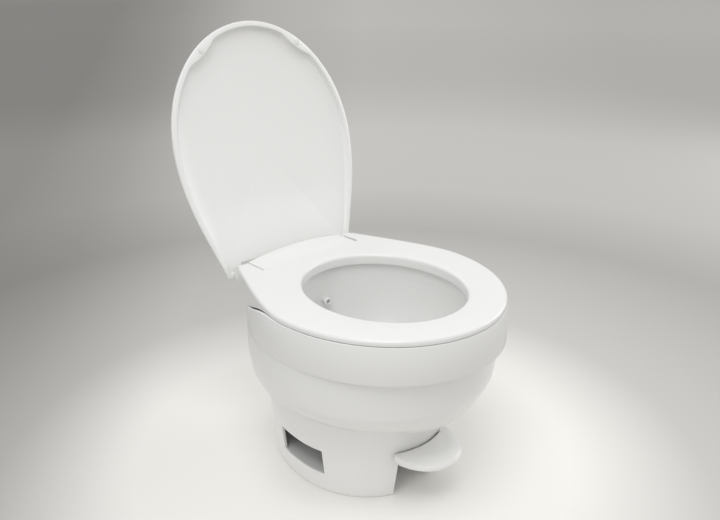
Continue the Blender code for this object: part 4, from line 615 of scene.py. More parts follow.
def lug(side):
    foot = seatSize["top"] + lidSize["gap"] + hairGap
    top = seatSize["top"] + lidSize["gap"] + lidSize["shell"] * 0.6
    radius, steps = lugSize["radius"], 24
    start, end = hinge["y"] - radius, hinge["y"] + lugSize["back"]
    near = cover["half"] + (cover["slot"] - lugSize["thick"]) * lugSize["place"]
    far = near + lugSize["thick"]
    disc = aboutHinge(radius, [pi * (1 + i / steps) for i in range(steps + 1)])
    bar = [(mixed(start, end, i / steps), foot) for i in range(steps + 1)]
    ends = [(end, top), (start, top)]
    rows = ((near, disc), (far, disc), (far + hairGap / 3, bar), (lugSize["reach"], bar))
    return cappedLoft([[(side * x, y, z) for y, z in points + ends] for x, points in rows])


def opened():
    middle = Matrix.Translation((0, hinge["y"], hinge["z"]))
    return middle @ Matrix.Rotation(-lidOpen, 4, "X") @ middle.inverted()


def makeLid():
    sections = [lidSection(point) for point in earedOutline(lidSize, 26)]
    top = seatSize["top"] + lidSize["gap"] + lidSize["shell"] + lidSize["dome"]
    poles = ((0, lidSize["widestY"], top + lidSize["shell"]), (0, lidSize["widestY"], top))
    lid = looseObject("lid_shell", skinned(list(zip(*sections)), poles=poles))
    lid = withIslands(carved(lid, lidRoom()), [lug(side) for side in (1, -1)])
    settle(lid, "lid", "shell", ["lid"], pose=opened())
    angle = lidSize["padShares"][0] * pi
    x, y = sin(angle), -cos(angle)
    edge = 1 / hypot(x / lidSize["half"], y / (lidSize["front"] + lidSize["widestY"]))
    reach = edge - (lidSize["lip"] + lidSize["pad"]) * 0.5
    radius, toe, high = lidPad["radius"], lidPad["toe"], seatSize["top"] + lidSize["gap"] - hairGap
    low = high - lidPad["thick"]
    profile = [(0, low), (radius - toe, low), (radius, low + lidPad["ease"]), (radius, high), (0, high)]
    places = [(side * x * reach, lidSize["widestY"] + y * reach, 0) for side in (1, -1)]
    pads = [solidTurned(profile, (0, 0, 1), place, 40) for place in places]
    nodes = ["lid_bumper_left", "lid_bumper_right"]
    settle(looseObject("lid_bumpers", joined(pads)), "lid", "pad", nodes, pose=opened())


# Hinge cover
def coverSection(x, inset):  # up the front leg, over the top, round the posts' bosses and down to the deck
    middle, ease, foot = hinge["y"], cover["ease"], rim["deck"] + hairGap
    radius, back = coverRadius - inset, middle + cover["back"] - inset
    rise = asin((seatSize["top"] - inset - hinge["z"]) / radius)
    points = aboutHinge(radius, [pi - (rise - ease / radius) * i / 16 for i in range(17)])
    front = middle - radius * cos(rise)
    start, last = front + ease, back - ease

    def over(y):
        return y, coverTop(x, y) - inset

    points += eased(points.pop(), over(front), over(start), 6)
    points += [over(mixed(start, last, i / 32)) for i in range(1, 32)]
    bulge = cover["bulge"] - inset
    low = -acos((cover["back"] - inset) / bulge)
    behind = aboutHinge(bulge, [mixed(pi / 8, low, i / 16) for i in range(17)])
    corner = over(back)
    below = tuple(mixed(a, b, 0.2) for a, b in zip(corner, behind[0]))
    points += eased(over(last), corner, below, 6) + behind
    return [(x, y, z) for y, z in [(middle - radius, foot), *points, (back, foot)]]


def makeCover():
    edge = cover["edge"]
    turns = [pi * i / 12 for i in range(7)]
    places = [(-cover["half"] + edge * (1 - cos(a)), edge * (1 - sin(a))) for a in turns]
    inner = cover["half"] - edge
    middle = [(inner * (2 * i / 40 - 1), 0) for i in range(1, 40)]
    places = places + middle + [(-x, inset) for x, inset in reversed(places)]
    barrel = looseObject("hinge_cover_barrel", cappedLoft([coverSection(x, inset) for x, inset in places]))
    settle(barrel, "base", "shell", ["hinge_cover"])


# Bowl shell
band = {
    "half": 0.200, "front": 0.222, "back": 0.2285, "flat": 0.211, "lean": 0.0025, "bottom": 0.273,
    "step": 0.001, "rimWall": 0.005, "wall": 0.0045, "seam": 0.1435, "edge": 0.0012, "centreShare": 0.3,
    "cornerEase": 0.006, "flange": 0.014, "flangeThick": 0.004,
}
shelf = {"drop": 0.0043, "wide": 0.009, "thick": 0.013, "edge": 0.004, "riseStart": 0.150, "riseEnd": 0.170}
shellKeys = (0.0, 0.06, 0.15, 0.30, 0.50, 0.75, 0.97)
shellHalf = (0.725, 0.744, 0.775, 0.925, 0.985, 1.0, 1.0)
shellFront = (0.655, 0.704, 0.820, 0.850, 0.905, 0.922, 0.944)
shellBack = (0.925, 0.937, 0.955, 0.975, 0.985, 1.0, 1.0)
shellNeck = (1.0, 0.4, 0.08, 0.0, 0.0, 0.0, 0.0)
bowlCount = 224


def bandOutline(inset):
    points = oval(band["half"] - inset, band["front"] - inset, band["back"] - inset, 0, bowlCount)
    return [(x, capped(y, band["flat"] - inset, band["cornerEase"])) for x, y in points]


def shellPlan(height, inset):  # an oval that turns into the pedestal's outline further down
    tables = (shellHalf, shellFront, shellBack, shellNeck)
    half, front, back, share = (smoothThrough(shellKeys, table, height) for table in tables)
    trim = band["step"] + inset
    front, back = band["front"] * front - trim, band["back"] * back - trim
    wide = oval(band["half"] * half - trim, front, back, (back - front) * band["centreShare"], bowlCount)
    wide = [(x, capped(y, band["flat"] - trim, band["cornerEase"])) for x, y in wide]
    narrow = footRing(foot["top"], inset, bowlCount)
    return [(mixed(a, c, share), mixed(b, d, share)) for (a, b), (c, d, _) in zip(wide, narrow)]


def levelled(points, z):
    return [(x, y, z(y) if callable(z) else z) for x, y in points]


def rimLip(start, way):  # half of the rim's rounded top edge
    steps = ((1, 0), (0.3, 0.3), (0, 1))
    return [
        levelled(bandOutline(start + way * share), lambda y, fall=fall: rimHeight(y) - band["edge"] * fall)
        for share, fall in steps
    ]


def shelfTop(y):  # the inner shelf that carries the liner and rises to the deck at the back
    low = linerTop - shelf["drop"]
    high = rim["deck"] - shelf["edge"]
    return low + (high - low) * smoothStep(y, shelf["riseStart"], shelf["riseEnd"])


def makeBowlShell():
    lean, edge, seam, bottom = (band[key] for key in ("lean", "edge", "seam", "bottom"))
    inside, inner = lean + band["rimWall"], lean + band["rimWall"] + shelf["wide"]
    rings = rimLip(lean, edge)
    foldover = ((0, 1), (0.3, 0.3), (1, -0.2))
    rings += [levelled(bandOutline(edge * a), bottom + edge * b) for a, b in foldover]
    heights = [0.965, 0.955] + [0.94 * (1 - i / 56) ** 1.25 for i in range(57)]
    drop = bottom - seam
    rings += [levelled(shellPlan(h, 0), seam + drop * h) for h in heights]
    flange = [(x, y) for x, y, _ in footRing(foot["top"], band["flange"], bowlCount)]
    rings += [levelled(flange, seam), levelled(flange, seam + band["flangeThick"])]
    low = seam + band["flangeThick"] * 1.2
    for h in (0.06, 0.10, 0.15, 0.22, 0.30, 0.40, 0.50, 0.62, 0.75):
        height = seam + drop * h + band["wall"] * 0.6 * (1 - h)
        rings.append(levelled(shellPlan(h, band["wall"]), max(height, low)))
    rings += [
        levelled(bandOutline(inside), lambda y: shelfTop(y) - shelf["thick"]),
        levelled(bandOutline(inner), lambda y: shelfTop(y) - shelf["edge"]),
        levelled(bandOutline(inner), shelfTop),
        levelled(bandOutline(inside), shelfTop),
    ]
    rings += reversed(rimLip(inside, -edge))
    shell = looseObject("bowl_outer", skinned(rings))
    settle(withIslands(shell, [deckTray()] + earRests()), "base", "shell", ["bowl_shell"])


deck = {
    "half": 0.122, "front": 0.152, "corner": 0.02, "thick": 0.0045, "depth": 0.019, "rest": 0.0145,
    "restWide": 0.013, "restInset": 0.0015, "restFront": 0.166, "edge": 0.0015,
}


def deckPlan(inset):
    half, front, back = deck["half"] - inset, deck["front"] + inset, band["flat"] - hairGap - inset
    places = ((half, front), (half, back), (-half, back), (-half, front))
    return rounded([(x, y, deck["corner"] - inset) for x, y in places], 10)


def deckTray():
    top, edge = rim["deck"], deck["edge"]
    steps = [(edge * (1 - sin(a)), edge * (1 - cos(a))) for a in (0, pi / 6, pi / 3, pi / 2)]
    rings = [levelled(deckPlan(inset), top - drop) for inset, drop in steps]
    low = top - deck["depth"]
    thick = deck["thick"]
    under = ((0, low + edge / 2), (edge / 2, low), (thick, low), (thick, top - thick))
    return cappedLoft(rings + [levelled(deckPlan(inset), z) for inset, z in under])


def earRests():
    far = deck["half"] - deck["restInset"]
    y = (deck["restFront"], hinge["y"] - deck["restInset"])
    z = (rim["deck"] - deck["thick"] / 2, rim["deck"] + deck["rest"])
    return sidePair((far - deck["restWide"], far), y, z, 0.003, 4)


# Geometry Nodes
def plantTree(name, inputs):
    tree = bpy.data.node_groups.new(name, "GeometryNodeTree")
    for label, value in inputs.items():
        kind = "NodeSocketInt" if isinstance(value, int) else "NodeSocketFloat"
        tree.interface.new_socket(name=label, in_out="INPUT", socket_type=kind)
    tree.interface.new_socket(name="Geometry", in_out="OUTPUT", socket_type="NodeSocketGeometry")
    recipe = Recipe(tree)
    given = recipe.node("NodeGroupInput")
    return recipe, {label: given.of(label) for label in inputs}


def harvest(name, recipe, geometry, inputs, look):  # runs the tree and keeps its result as a plain mesh
    real = recipe.node("GeometryNodeRealizeInstances", None, {"Geometry": geometry})
    dressed = recipe.node("GeometryNodeSetMaterial", None, {"Geometry": real, "Material": looks[look]})
    recipe.node("NodeGroupOutput", None, {"Geometry": dressed})
    made = linked(name, bpy.data.meshes.new(name))
    modifier = made.modifiers.new(name, "NODES")
    modifier.node_group = recipe.tree
    for item in recipe.tree.interface.items_tree:
        if item.in_out == "INPUT":
            modifier[item.identifier] = inputs[item.name]
    made.data = evaluated(made)
    made.modifiers.clear()
    return made


def gridShares(recipe, across, along):  # a grid of points and each point's two shares, from 0 to 1
    sizes = {"Size X": 1.0, "Size Y": 1.0, "Vertices X": across, "Vertices Y": along}
    grid = recipe.node("GeometryNodeMeshGrid", None, sizes)
    where = recipe.node("GeometryNodeInputPosition")
    parts = recipe.node("ShaderNodeSeparateXYZ", None, {0: where})
    return grid, parts.of("X") + 0.5, parts.of("Y") + 0.5


def seamless(recipe, grid, x, y, z):
    place = recipe.node("ShaderNodeCombineXYZ", None, {"X": x, "Y": y, "Z": z})
    moved = recipe.node("GeometryNodeSetPosition", None, {"Geometry": grid, "Position": place})
    return recipe.node("GeometryNodeMergeByDistance", None, {"Geometry": moved, "Distance": 0.00001})


basin = {
    "Rim Half Width": 0.132, "Rim Half Length": 0.1505, "Rim Centre": -0.0185, "Throat Radius": 0.031,
    "Throat Centre": 0.038, "Rim Height": linerTop - 0.004, "Depth": 0.136, "Side Power": 1.086,
    "Depth Power": 2.5, "Steps Around": 193, "Steps Down": 56,
}
liner = {
    "wall": 0.004, "edge": 0.0006, "margin": 0.007, "back": 0.150, "backEase": 0.006, "tubeFlange": 0.044,
    "tubeLow": 0.1505, "overlap": 0.0005, "collarGap": 0.002, "collarEase": 0.0012,
}
spout = {
    "radius": 0.006, "lip": 0.0078, "bore": 0.0036, "lipLength": 0.0035, "neck": 0.007, "boreDepth": 0.006,
}


def basinTree():  # an oval rim that closes in to a round throat: (1 - closing)^side + depth^down = 1
    recipe, given = plantTree("basin", basin)
    grid, around, down = gridShares(recipe, given["Steps Around"], given["Steps Down"])
    turn = around * tau
    quarter = down * (pi / 2)
    closeness = quarter.maths("COSINE", quarter) ** (2.0 / given["Side Power"])
    fall = quarter.maths("SINE", quarter) ** (2.0 / given["Depth Power"])
    throat = given["Throat Radius"]
    halfWide = throat + (given["Rim Half Width"] - throat) * closeness
    halfLong = throat + (given["Rim Half Length"] - throat) * closeness
    centre = given["Throat Centre"] + (given["Rim Centre"] - given["Throat Centre"]) * closeness
    x = halfWide * turn.maths("COSINE", turn)
    y = centre + halfLong * turn.maths("SINE", turn)
    z = given["Rim Height"] - given["Depth"] * fall
    return recipe, seamless(recipe, grid, x, y, z)


def makeLiner():
    recipe, geometry = basinTree()
    made = harvest("basin_bowl", recipe, geometry, basin, "whiteBasin")
    made.modifiers.new("wall", "SOLIDIFY").thickness = liner["wall"]
    baked(made)
    bm = shellsOf(made.data)
    centre = Vector((0, basin["Rim Centre"], basin["Rim Height"] - basin["Depth"] / 2))
    inner = min(bm.faces, key=lambda f: (f.calc_center_median() - centre).length)
    if inner.normal.dot(centre - inner.calc_center_median()) < 0:
        bmesh.ops.reverse_faces(bm, faces=bm.faces[:])
    bm.to_mesh(made.data)
    bm.free()
    made = withIslands(made, [linerFlange(), collar(), throatTube()])
    settle(made, "base", "basin", ["bowl_liner"])


def rimRing(grow, z):  # the basin's rim, grown outwards
    half, length, centre = (basin[key] for key in ("Rim Half Width", "Rim Half Length", "Rim Centre"))
    return ellipse(half + grow, length + grow, centre, z, 192, 0)


def flangeRing(outline, inset, z, count=192):  # where rays from the basin's centre meet the seat's outline
    centre = basin["Rim Centre"]
    out = []
    for i in range(count):
        dx, dy = cos(tau * i / count), sin(tau * i / count)
        best = 0
        for (ax, ay), (bx, by) in zip(outline, outline[1:] + outline[:1]):
            ex, ey = bx - ax, by - ay
            across = dx * ey - dy * ex
            if across:
                along = (ax * ey - (ay - centre) * ex) / across
                share = (ax * dy - (ay - centre) * dx) / across
                if along > 0 and -1e-6 <= share <= 1 + 1e-6:
                    best = max(best, along)
        reach = best - liner["margin"] - inset
        out.append((dx * reach, capped(centre + dy * reach, liner["back"] - inset, liner["backEase"]), z))
    return out


def linerFlange():  # the flat rim round the basin, with an eased inner edge
    outline, easing, edge = earedOutline(seatSize, 26), liner["wall"], liner["edge"]
    low = linerTop - liner["wall"]
    turns = [pi / 2 * i / 6 for i in range(7)]
    rings = [rimRing(easing * (1 - cos(t)), low + easing * sin(t)) for t in turns]
    outer = ((edge, linerTop), (0, linerTop - edge), (0, low))
    return skinned(rings + [flangeRing(outline, *place) for place in outer] + [rimRing(easing, low)])


def collar():  # stands on the flange under the seat and carries the basin's wall up
    wall, ease, root = liner["wall"], liner["collarEase"], 0.0002
    low = linerTop - wall - liner["overlap"]
    high = seatSize["top"] - seatSize["ring"] - liner["collarGap"]
    profile = rounded([(0, high, ease), (wall, high, ease), (wall, low, root), (0, low, root)], 4)
    return skinned([rimRing(grow, z) for grow, z in profile])


def throatTube():
    radius, low, wall = basin["Throat Radius"], liner["tubeLow"], liner["wall"]
    top = basin["Rim Height"] - basin["Depth"] + liner["overlap"]
    profile = [
        (radius, top), (radius, low), (liner["tubeFlange"], low), (liner["tubeFlange"], low + wall),
        (radius + wall, low + wall), (radius + wall, top),
    ]
    return turned(profile, (0, 0, 1), (0, basin["Throat Centre"], 0), 96)


def makeNozzle():  # the short spout that washes the basin
    start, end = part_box("flush_nozzle")
    low, high = (corner[1] - shift.translation.y for corner in (start, end))
    radius, lip, bore, inside = spout["radius"], spout["lip"], spout["bore"], low + spout["boreDepth"]
    neck, mouth = low + spout["neck"], low + spout["lipLength"]
    profile = rounded([
        (radius, high, 0.0004), (radius, neck, 0.002), (lip, mouth, 0.001), (lip - 0.0008, low, 0.0012),
        (bore, low, 0.0008), (bore, inside, 0.0002),
    ], 4)
    place = (0, 0, (start[2] + end[2]) / 2)
    made = looseObject("flush_spout", solidTurned([(0, high), *profile, (0, inside)], (0, 1, 0), place, 48))
    settle(made, "base", "basin", ["flush_nozzle"])


# Pedestal
foot = {
    "half": 0.130, "front": 0.1045, "back": 0.1975, "centre": 0.037, "flare": 0.0145, "frontFlare": 0.0215,
    "backFlare": 0.0095, "backPower": 2.3, "top": 0.1432, "round": 0.003, "wall": 0.0045, "ledgeTop": 0.036,
    "ledge": 0.006, "windowStart": -0.013, "windowEnd": 0.089, "windowLow": 0.0363, "windowHigh": 0.0838,
    "notchHalf": 0.047, "notchTop": 0.0915, "notchBack": 0.062, "edge": 0.0009, "mouth": 0.048,
}
flangeSize = {"outer": 0.003, "inner": 0.014, "drop": 0.0002, "thick": 0.004}


def footSizes(z):
    pairs = (("half", "flare"), ("front", "frontFlare"), ("back", "backFlare"))
    return [foot[size] + foot[flare] * (z / foot["top"]) for size, flare in pairs]


def footPoint(angle, z, inset=0.0):  # an oval in front, and fuller than an oval behind
    half, front, back = footSizes(z)
    middle = foot["centre"]
    if sin(angle) <= 0:
        return (half - inset) * cos(angle), middle + (front + middle - inset) * sin(angle), z
    power = 2 / foot["backPower"]
    x = (half - inset) * abs(cos(angle)) ** power * (1 if cos(angle) > 0 else -1)
    return x, middle + (back - middle - inset) * sin(angle) ** power, z


def footAngles(z, counts):  # columns that pass exactly through the corners of the notch and the windows
    half, front, back = footSizes(z)
    middle, down = foot["centre"], -pi / 2
    notch = asin(foot["notchHalf"] / half)
    low = asin((foot["windowStart"] - middle) / (front + middle))
    high = asin(((foot["windowEnd"] - middle) / (back - middle)) ** (foot["backPower"] / 2))
    keys = [down - notch, down + notch, low, high, pi - high, pi - low, tau + down - notch]
    out = []
    for start, end, count in zip(keys, keys[1:], counts):
        out += [mixed(start, end, i / count) for i in range(count)]
    return out


def makePedestal():
    counts, spans = (14, 26, 26, 70, 26, 26), (3, 8, 12, 3, 12)
    heights = [0] + [foot[key] for key in ("round", "windowLow", "windowHigh", "notchTop", "top")]
    rows = []
    for start, end, count in zip(heights, heights[1:], spans):
        rows += [mixed(start, end, i / count) for i in range(count)]
    bm = bmesh.new()
    grid = []
    for z in rows + [foot["top"]]:
        inset = foot["round"] * 0.5 * (1 - min(z / foot["round"], 1)) ** 2
        grid.append([bm.verts.new(footPoint(a, z, inset)) for a in footAngles(z, counts)])
    firsts = [sum(counts[:i]) for i in range(7)]
    levels = [sum(spans[:i]) for i in range(6)]
    windows = [(firsts[2], firsts[3]), (firsts[4], firsts[5])]
    total = len(grid[0])
    for row in range(len(rows)):
        for column in range(total):
            inWindow = any(a <= column < b for a, b in windows) and levels[2] <= row < levels[3]
            inNotch = column < firsts[1] and row < levels[4]
            if not (inWindow or inNotch):
                j = (column + 1) % total
                bm.faces.new((grid[row][column], grid[row][j], grid[row + 1][j], grid[row + 1][column]))
    bmesh.ops.delete(bm, geom=[v for v in bm.verts if not v.link_faces], context="VERTS")
    made = linked("pedestal_skin", meshOf(bm, "pedestal_skin"))
    thick = made.modifiers.new("wall", "SOLIDIFY")
    thick.thickness, thick.offset = foot["wall"], -1
    edges = made.modifiers.new("edges", "BEVEL")
    edges.width, edges.segments = foot["edge"], 3
    edges.limit_method, edges.angle_limit = "ANGLE", radians(50)
    islands = [ledgePlate(), footFlange(), inletBoss()] + cheeks()
    settle(withIslands(baked(made), islands), "base", "shell", ["pedestal"], sharp=42)


def footRing(z, inset, count=128):
    return [footPoint(tau * (i + 0.5) / count, z, inset) for i in range(count)]


def ledgePlate():
    top, low, middle = foot["ledgeTop"], foot["ledgeTop"] - foot["ledge"], basin["Throat Centre"]
    inset, mouth, half = foot["wall"] * 0.6, foot["mouth"], foot["notchHalf"]
    hole = [ellipse(mouth, mouth, middle, z, 128, 0.5) for z in (top, low)]
    plate = looseObject("plate", skinned([footRing(top, inset), *hole, footRing(low, inset)]))
    start, end = (-half, -foot["front"] * 1.5, 0), (half, -foot["notchBack"], foot["notchTop"])
    carved(plate, roundedBox(start, end, 0.002))
    bm = shellsOf(plate.data)
    bpy.data.objects.remove(plate)
    return bm


def footFlange():
    outer, inner, top = flangeSize["outer"], flangeSize["inner"], foot["top"] - flangeSize["drop"]
    low = top - flangeSize["thick"]
    corners = ((top, outer), (top, inner), (low, inner), (low, outer))
    return skinned([footRing(z, inset) for z, inset in corners])


inlet = {"z": 0.090, "radius": 0.0085, "boss": 0.0135, "depth": 0.014, "edge": 0.001}
shaft = {
    "y": -0.075, "z": 0.072, "cheekX": 0.0485, "cheekThick": 0.0075, "cheekFront": 0.017,
    "cheekBack": 0.019, "cheekRise": 0.0177,
}


def inletBoss():
    face = foot["back"] + foot["backFlare"] * (inlet["z"] + inlet["boss"]) / band["seam"] + hairGap
    bore, boss, edge = inlet["radius"] + hairGap, inlet["boss"], inlet["edge"]
    start = face - inlet["depth"]
    profile = [(bore, start), (boss, start), (boss, face - edge), (boss - edge, face), (bore, face)]
    return turned(profile, (0, 1, 0), (0, 0, inlet["z"]))


def cheeks():
    x = (shaft["cheekX"], shaft["cheekX"] + shaft["cheekThick"])
    y = (shaft["y"] - shaft["cheekFront"], shaft["y"] + shaft["cheekBack"])
    return sidePair(x, y, (foot["ledgeTop"] - foot["ledge"] / 2, shaft["z"] + shaft["cheekRise"]), 0.001, 2)


# Pedal
pedal = {
    "half": 0.060, "sideGap": 0.0018, "neckGap": 0.0034, "rearTop": 0.0922, "tipTop": 0.0955,
    "reach": 0.1045, "roundReach": 0.0705, "power": 2.18, "edge": 0.0138, "nose": 0.007, "crown": 0.017,
    "rearLow": 0.0592, "tipLow": 0.0745, "neckTop": 0.0862, "neckLow": 0.069, "hub": 0.0115, "hubEdge": 0.001,
    "inwards": 0.05,
}


def frontWall(x):  # the pedestal's front face at the height of the notch's top
    half, front, _ = footSizes(foot["notchTop"])
    return foot["centre"] - (front + foot["centre"]) * sqrt(1 - (x / half) ** 2)


def pedalHeight(side, y):
    share = (shaft["y"] - y) / pedal["reach"]
    return mixed(pedal["rear" + side], pedal["tip" + side], share)


def pedalSection(x, y, middle, nearNose):  # round at the nose and sharp beside the pedestal
    edge, drop, ease = pedal["edge"], mixed(0, pedal["nose"], nearNose), mixed(0.001, 0.006, nearNose)
    span = pedalHeight("Top", y) - pedalHeight("Low", y)
    path = rounded([
        (pedal["inwards"], 0, 0.001), (pedal["crown"], 0, 0.012), (0, drop, ease), (0, edge, 0.004),
        (edge, span * 0.92, 0.007), (edge * 2, span, 0.004), (pedal["inwards"], span, 0.001),
    ], 7, closed=False)
    out = []
    for width, fall in path:
        keep = max(1 - width / hypot(x, y - middle), 0)
        py = middle + (y - middle) * keep
        out.append((x * keep, py, pedalHeight("Top", py) - fall))
    return out


def makePedal():
    tip, half, hub, hubEdge = shaft["y"] - pedal["reach"], pedal["half"], pedal["hub"], pedal["hubEdge"]
    turn = tip + pedal["roundReach"]
    power, count = 2 / pedal["power"], 72
    nose = []
    for i in range(1, count):
        x, y = cos(pi * i / count), sin(pi * i / count)
        nose.append((half * abs(x) ** power * (1 if x > 0 else -1), turn - pedal["roundReach"] * y**power))
    rear = [mixed(-half, half, i / 40) for i in range(41)]
    rear = [(x, frontWall(x) - pedal["neckGap"]) for x in rear]
    right = eased(rear[-3], rear[-1], (half, turn), 6)
    sections = []
    for x, y in rear[3:-3] + right + nose + [(-x, y) for x, y in reversed(right)]:
        nearNose = smoothStep(-y, -rear[-1][1], -tip * 0.88) if (x, y) not in rear else 0
        sections.append(pedalSection(x, y, (turn + tip) / 2, nearNose))
    made = looseObject("foot_pedal", cappedLoft(list(zip(*sections))))
    neck = foot["notchHalf"] - pedal["sideGap"]
    low, high = (-neck, turn - 0.01, pedal["neckLow"]), (neck, shaft["y"] + hub * 0.5, pedal["neckTop"])
    end = neck - pedal["sideGap"]
    profile = [(0, -end), (hub - hubEdge, -end), (hub, hubEdge - end)]
    profile += [(radius, -place) for radius, place in reversed(profile)]
    barrel = solidTurned(profile, (1, 0, 0), (0, shaft["y"], shaft["z"]))
    made = withIslands(made, [barrel, roundedBox(low, high, 0.002)])
    settle(made, "pedal", "shell", ["pedal"])


# Outlet: ball, housing and seals
outlet = {
    "low": 0.0143, "top": 0.1502, "radius": 0.0455, "bore": 0.040, "flange": 0.060, "flangeThick": 0.005,
    "edge": 0.0008, "sealOuter": 0.0397, "sealMouth": 0.030, "sealLip": 0.027, "sealDepth": 0.0059,
    "sealDrop": 0.0012,
}
floorSeal = {
    "outer": 0.056, "bore": 0.040, "low": 0.0005, "top": 0.0138, "grooves": 4, "start": 0.054,
    "end": 0.042, "slope": 0.001, "depth": 0.0012,
}
ball = {
    "z": 0.120, "skirt": 8, "radius": 0.036, "wall": 0.003, "axle": 0.004, "axleEdge": 0.0006,
    "reaches": {1: 0.068, -1: 0.0475},
}


def housingProfile():
    low, top, radius, bore, edge = (outlet[key] for key in ("low", "top", "radius", "bore", "edge"))
    start, flange = foot["ledgeTop"] + hairGap, outlet["flange"]
    end = start + outlet["flangeThick"]
    return rounded([
        (radius, low, edge), (radius, start, 0.0005), (flange, start, 0.001), (flange, end, 0.001),
        (radius, end, 0.002), (radius, top, edge), (bore, top, edge), (bore, low, edge),
    ], 3)


def throatProfile():
    top, edge, outer, lip = outlet["top"], outlet["edge"], outlet["sealOuter"], outlet["sealLip"]
    low = top - outlet["sealDepth"]
    return rounded([
        (outer, low, edge), (outer, top, edge), (outlet["sealMouth"], top, 0.0015),
        (lip, top - outlet["sealDrop"], edge), (lip, low, 0.0015),
    ], 3)


def floorProfile():  # a ring with shallow grooves in its top
    outer, bore, low, top = (floorSeal[key] for key in ("outer", "bore", "low", "top"))
    count, slope, bottom = floorSeal["grooves"], floorSeal["slope"], top - floorSeal["depth"]
    points = [(outer, low, 0.0004), (outer, top, 0.001)]
    for i in range(count):
        edge = mixed(floorSeal["start"], floorSeal["end"], i / (count - 0.5))
        points += [(edge, top, 0.0005), (edge - slope, bottom, 0.0003), (edge - slope * 2, top, 0.0005)]
    return rounded(points + [(bore, top, 0.0008), (bore, low, 0.0008)], 2)


def makeOutlet():
    centre = (0, basin["Throat Centre"], 0)
    for name, profile, slot, node in (
        ("housing_body", housingProfile(), "grey", "valve_housing"),
        ("throat_ring", throatProfile(), "rubber", "throat_seal"),
        ("floor_ring", floorProfile(), "rubber", "floor_seal"),
    ):
        settle(looseObject(name, turned(profile, (0, 0, 1), centre, 96)), "base", slot, [node])


def makeBall():
    centre, skirt = (0, basin["Throat Centre"], ball["z"]), -radians(ball["skirt"])
    radius, hollow = ball["radius"], ball["radius"] - ball["wall"]
    turns = [skirt + (pi / 2 - skirt) * i / 24 for i in range(24)]
    inner, outer = ([(size * cos(a), size * sin(a)) for a in turns] for size in (hollow, radius))
    profile = [(0, hollow), *reversed(inner), *outer, (0, radius)]
    made = looseObject("valve_ball", solidTurned(profile, (0, 0, 1), centre, 72))
    start, axle, edge = radius - ball["wall"] * 0.7, ball["axle"], ball["axleEdge"]
    axles = []
    for side, reach in ball["reaches"].items():
        bar = [(0, start), (axle, start), (axle, reach - edge), (axle - edge, reach), (0, reach)]
        axles.append(solidTurned(bar, (side, 0, 0), centre, 40))
    settle(withIslands(made, axles), "ball", "grey", ["waste_ball"])


makeSeat()
makeLid()
makeCover()
print("seat, lid and hinge cover made")
makeBowlShell()
makeLiner()
makeNozzle()
makePedestal()
makePedal()
print("bowl, basin, pedestal and pedal made")
makeOutlet()
makeBall()
print("outlet made")


# Floor, light and camera
studio = {
    "radius": 90.0, "reach": 10.0, "tint": (1.0, 0.985, 0.945), "sky": 0.36, "ambient": 0.70,
    # painted light and shade on the floor: lighter next to the object, darker about a metre out, lighter again
    # further off
    "paintedFalloff": (
        (0.0, 0.88), (0.04, 0.86), (0.062, 0.58), (0.12, 0.44), (0.17, 0.55), (0.28, 0.63), (1.0, 0.71),
    ),
    # painted shade on the floor: brightest along the line of sight, much darker towards the left, a little darker
    # towards the right
    "sides": ((0.37, 0.90), (0.44, 0.97), (0.50, 1.0), (0.56, 0.88), (0.60, 0.60), (0.63, 0.48)),
    "left": (-0.735, 0.678, 0.0), "sideShift": 3.0, "fadeFrom": 16.0, "fadeOver": 30.0, "roughness": 0.6,
    "aim": (0, 0, 0.3),
}
lamps = {  # place, width and power
    "key": ((-1.0, -0.8, 3.0), 1.8, 35), "right": ((2.9, -0.9, 1.4), 2.0, 21),
    "left": ((-2.9, -0.9, 1.4), 2.0, 9), "back": ((0.6, 2.4, 2.2), 2.0, 10),
}


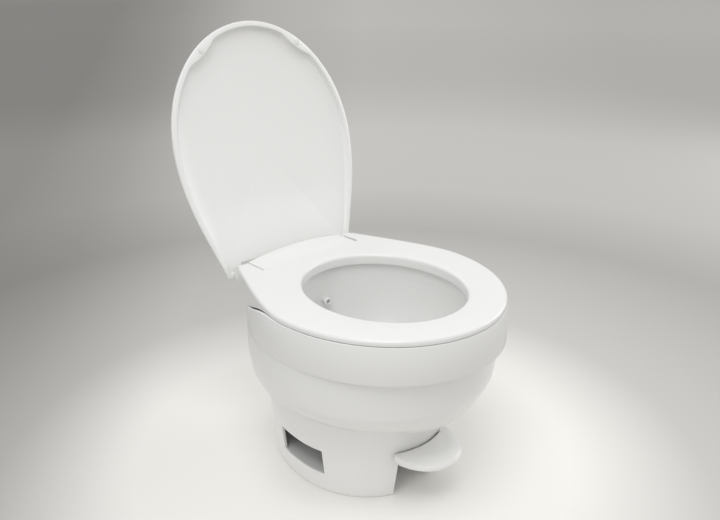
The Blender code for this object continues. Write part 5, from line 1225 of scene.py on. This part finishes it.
def makeFloor():
    bm = bmesh.new()
    bmesh.ops.create_circle(bm, cap_ends=True, segments=96, radius=studio["radius"])
    floor = linked("floor", meshOf(bm, "floor"))
    constants = {"Roughness": studio["roughness"], "Specular IOR Level": 0.0}
    made, shader, recipe, where = newMaterial("studioFloor", constants)
    length = recipe.node("ShaderNodeVectorMath", {"operation": "LENGTH"}, {0: where}, "Value")
    # painted shade: the floor's colour falls and rises with distance from the object, in place of the lamps' light
    ramp = recipe.node("ShaderNodeValToRGB", {"stops": studio["paintedFalloff"]}, {0: length / studio["reach"]})
    ends = {0: where, 1: studio["left"]}
    side = recipe.node("ShaderNodeVectorMath", {"operation": "DOT_PRODUCT"}, ends, "Value")
    toLeft = side / (length + studio["sideShift"]) * 0.5 + 0.5
    # painted shade: the floor's colour darkens towards the sides of the view, most on the left
    across = recipe.node("ShaderNodeValToRGB", {"stops": studio["sides"]}, {0: toLeft})
    shade = recipe.mixColour(1.0, ramp, across, "MULTIPLY")
    tinted = recipe.mixColour(1.0, shade, studio["tint"], "MULTIPLY")
    fade = (length - studio["fadeFrom"]) / studio["fadeOver"]  # the far floor fades into the sky's shade
    shade = recipe.mixColour(fade, tinted, [c * studio["sky"] / studio["ambient"] for c in studio["tint"]])
    recipe.feed(shader, {"Base Color": shade})
    floor.data.materials.append(made)


def makeLight():
    for name, (place, size, power) in lamps.items():
        light = bpy.data.lights.new(name, "AREA")
        light.shape, light.size, light.energy = "DISK", size, power
        made = linked(name, light)
        made.location = place
        made.rotation_euler = (Vector(studio["aim"]) - Vector(place)).to_track_quat("-Z", "Y").to_euler()
    world = bpy.data.worlds.new("studio")
    bpy.context.scene.world = world
    world.use_nodes = True
    background = world.node_tree.nodes["Background"]
    recipe = Recipe(world.node_tree)
    seen = recipe.node("ShaderNodeLightPath", None, None, "Is Camera Ray")
    tint = [c * studio["sky"] for c in studio["tint"]]
    shade = recipe.mixColour(seen, (studio["ambient"],) * 3, tint)
    recipe.feed(background, {"Color": shade})


photo = {
    "wide": 720, "focal": 748.87, "sensor": 36.0, "pitch": 0.378635, "yaw": 0.744839,
    "place": (-0.773798, -0.802274, 0.822834),
}


def makeCamera():
    camera = bpy.data.cameras.new("camera")
    camera.sensor_width = photo["sensor"]
    camera.lens = photo["focal"] / photo["wide"] * photo["sensor"]
    camera.clip_end = 200
    made = linked("camera", camera)
    made.location = shift @ Vector(photo["place"])
    made.rotation_euler = (pi / 2 - photo["pitch"], 0, -photo["yaw"])
    bpy.context.scene.camera = made


makeFloor()
makeLight()
makeCamera()
bpy.context.scene.view_settings.view_transform = "Standard"
print("scene ready")
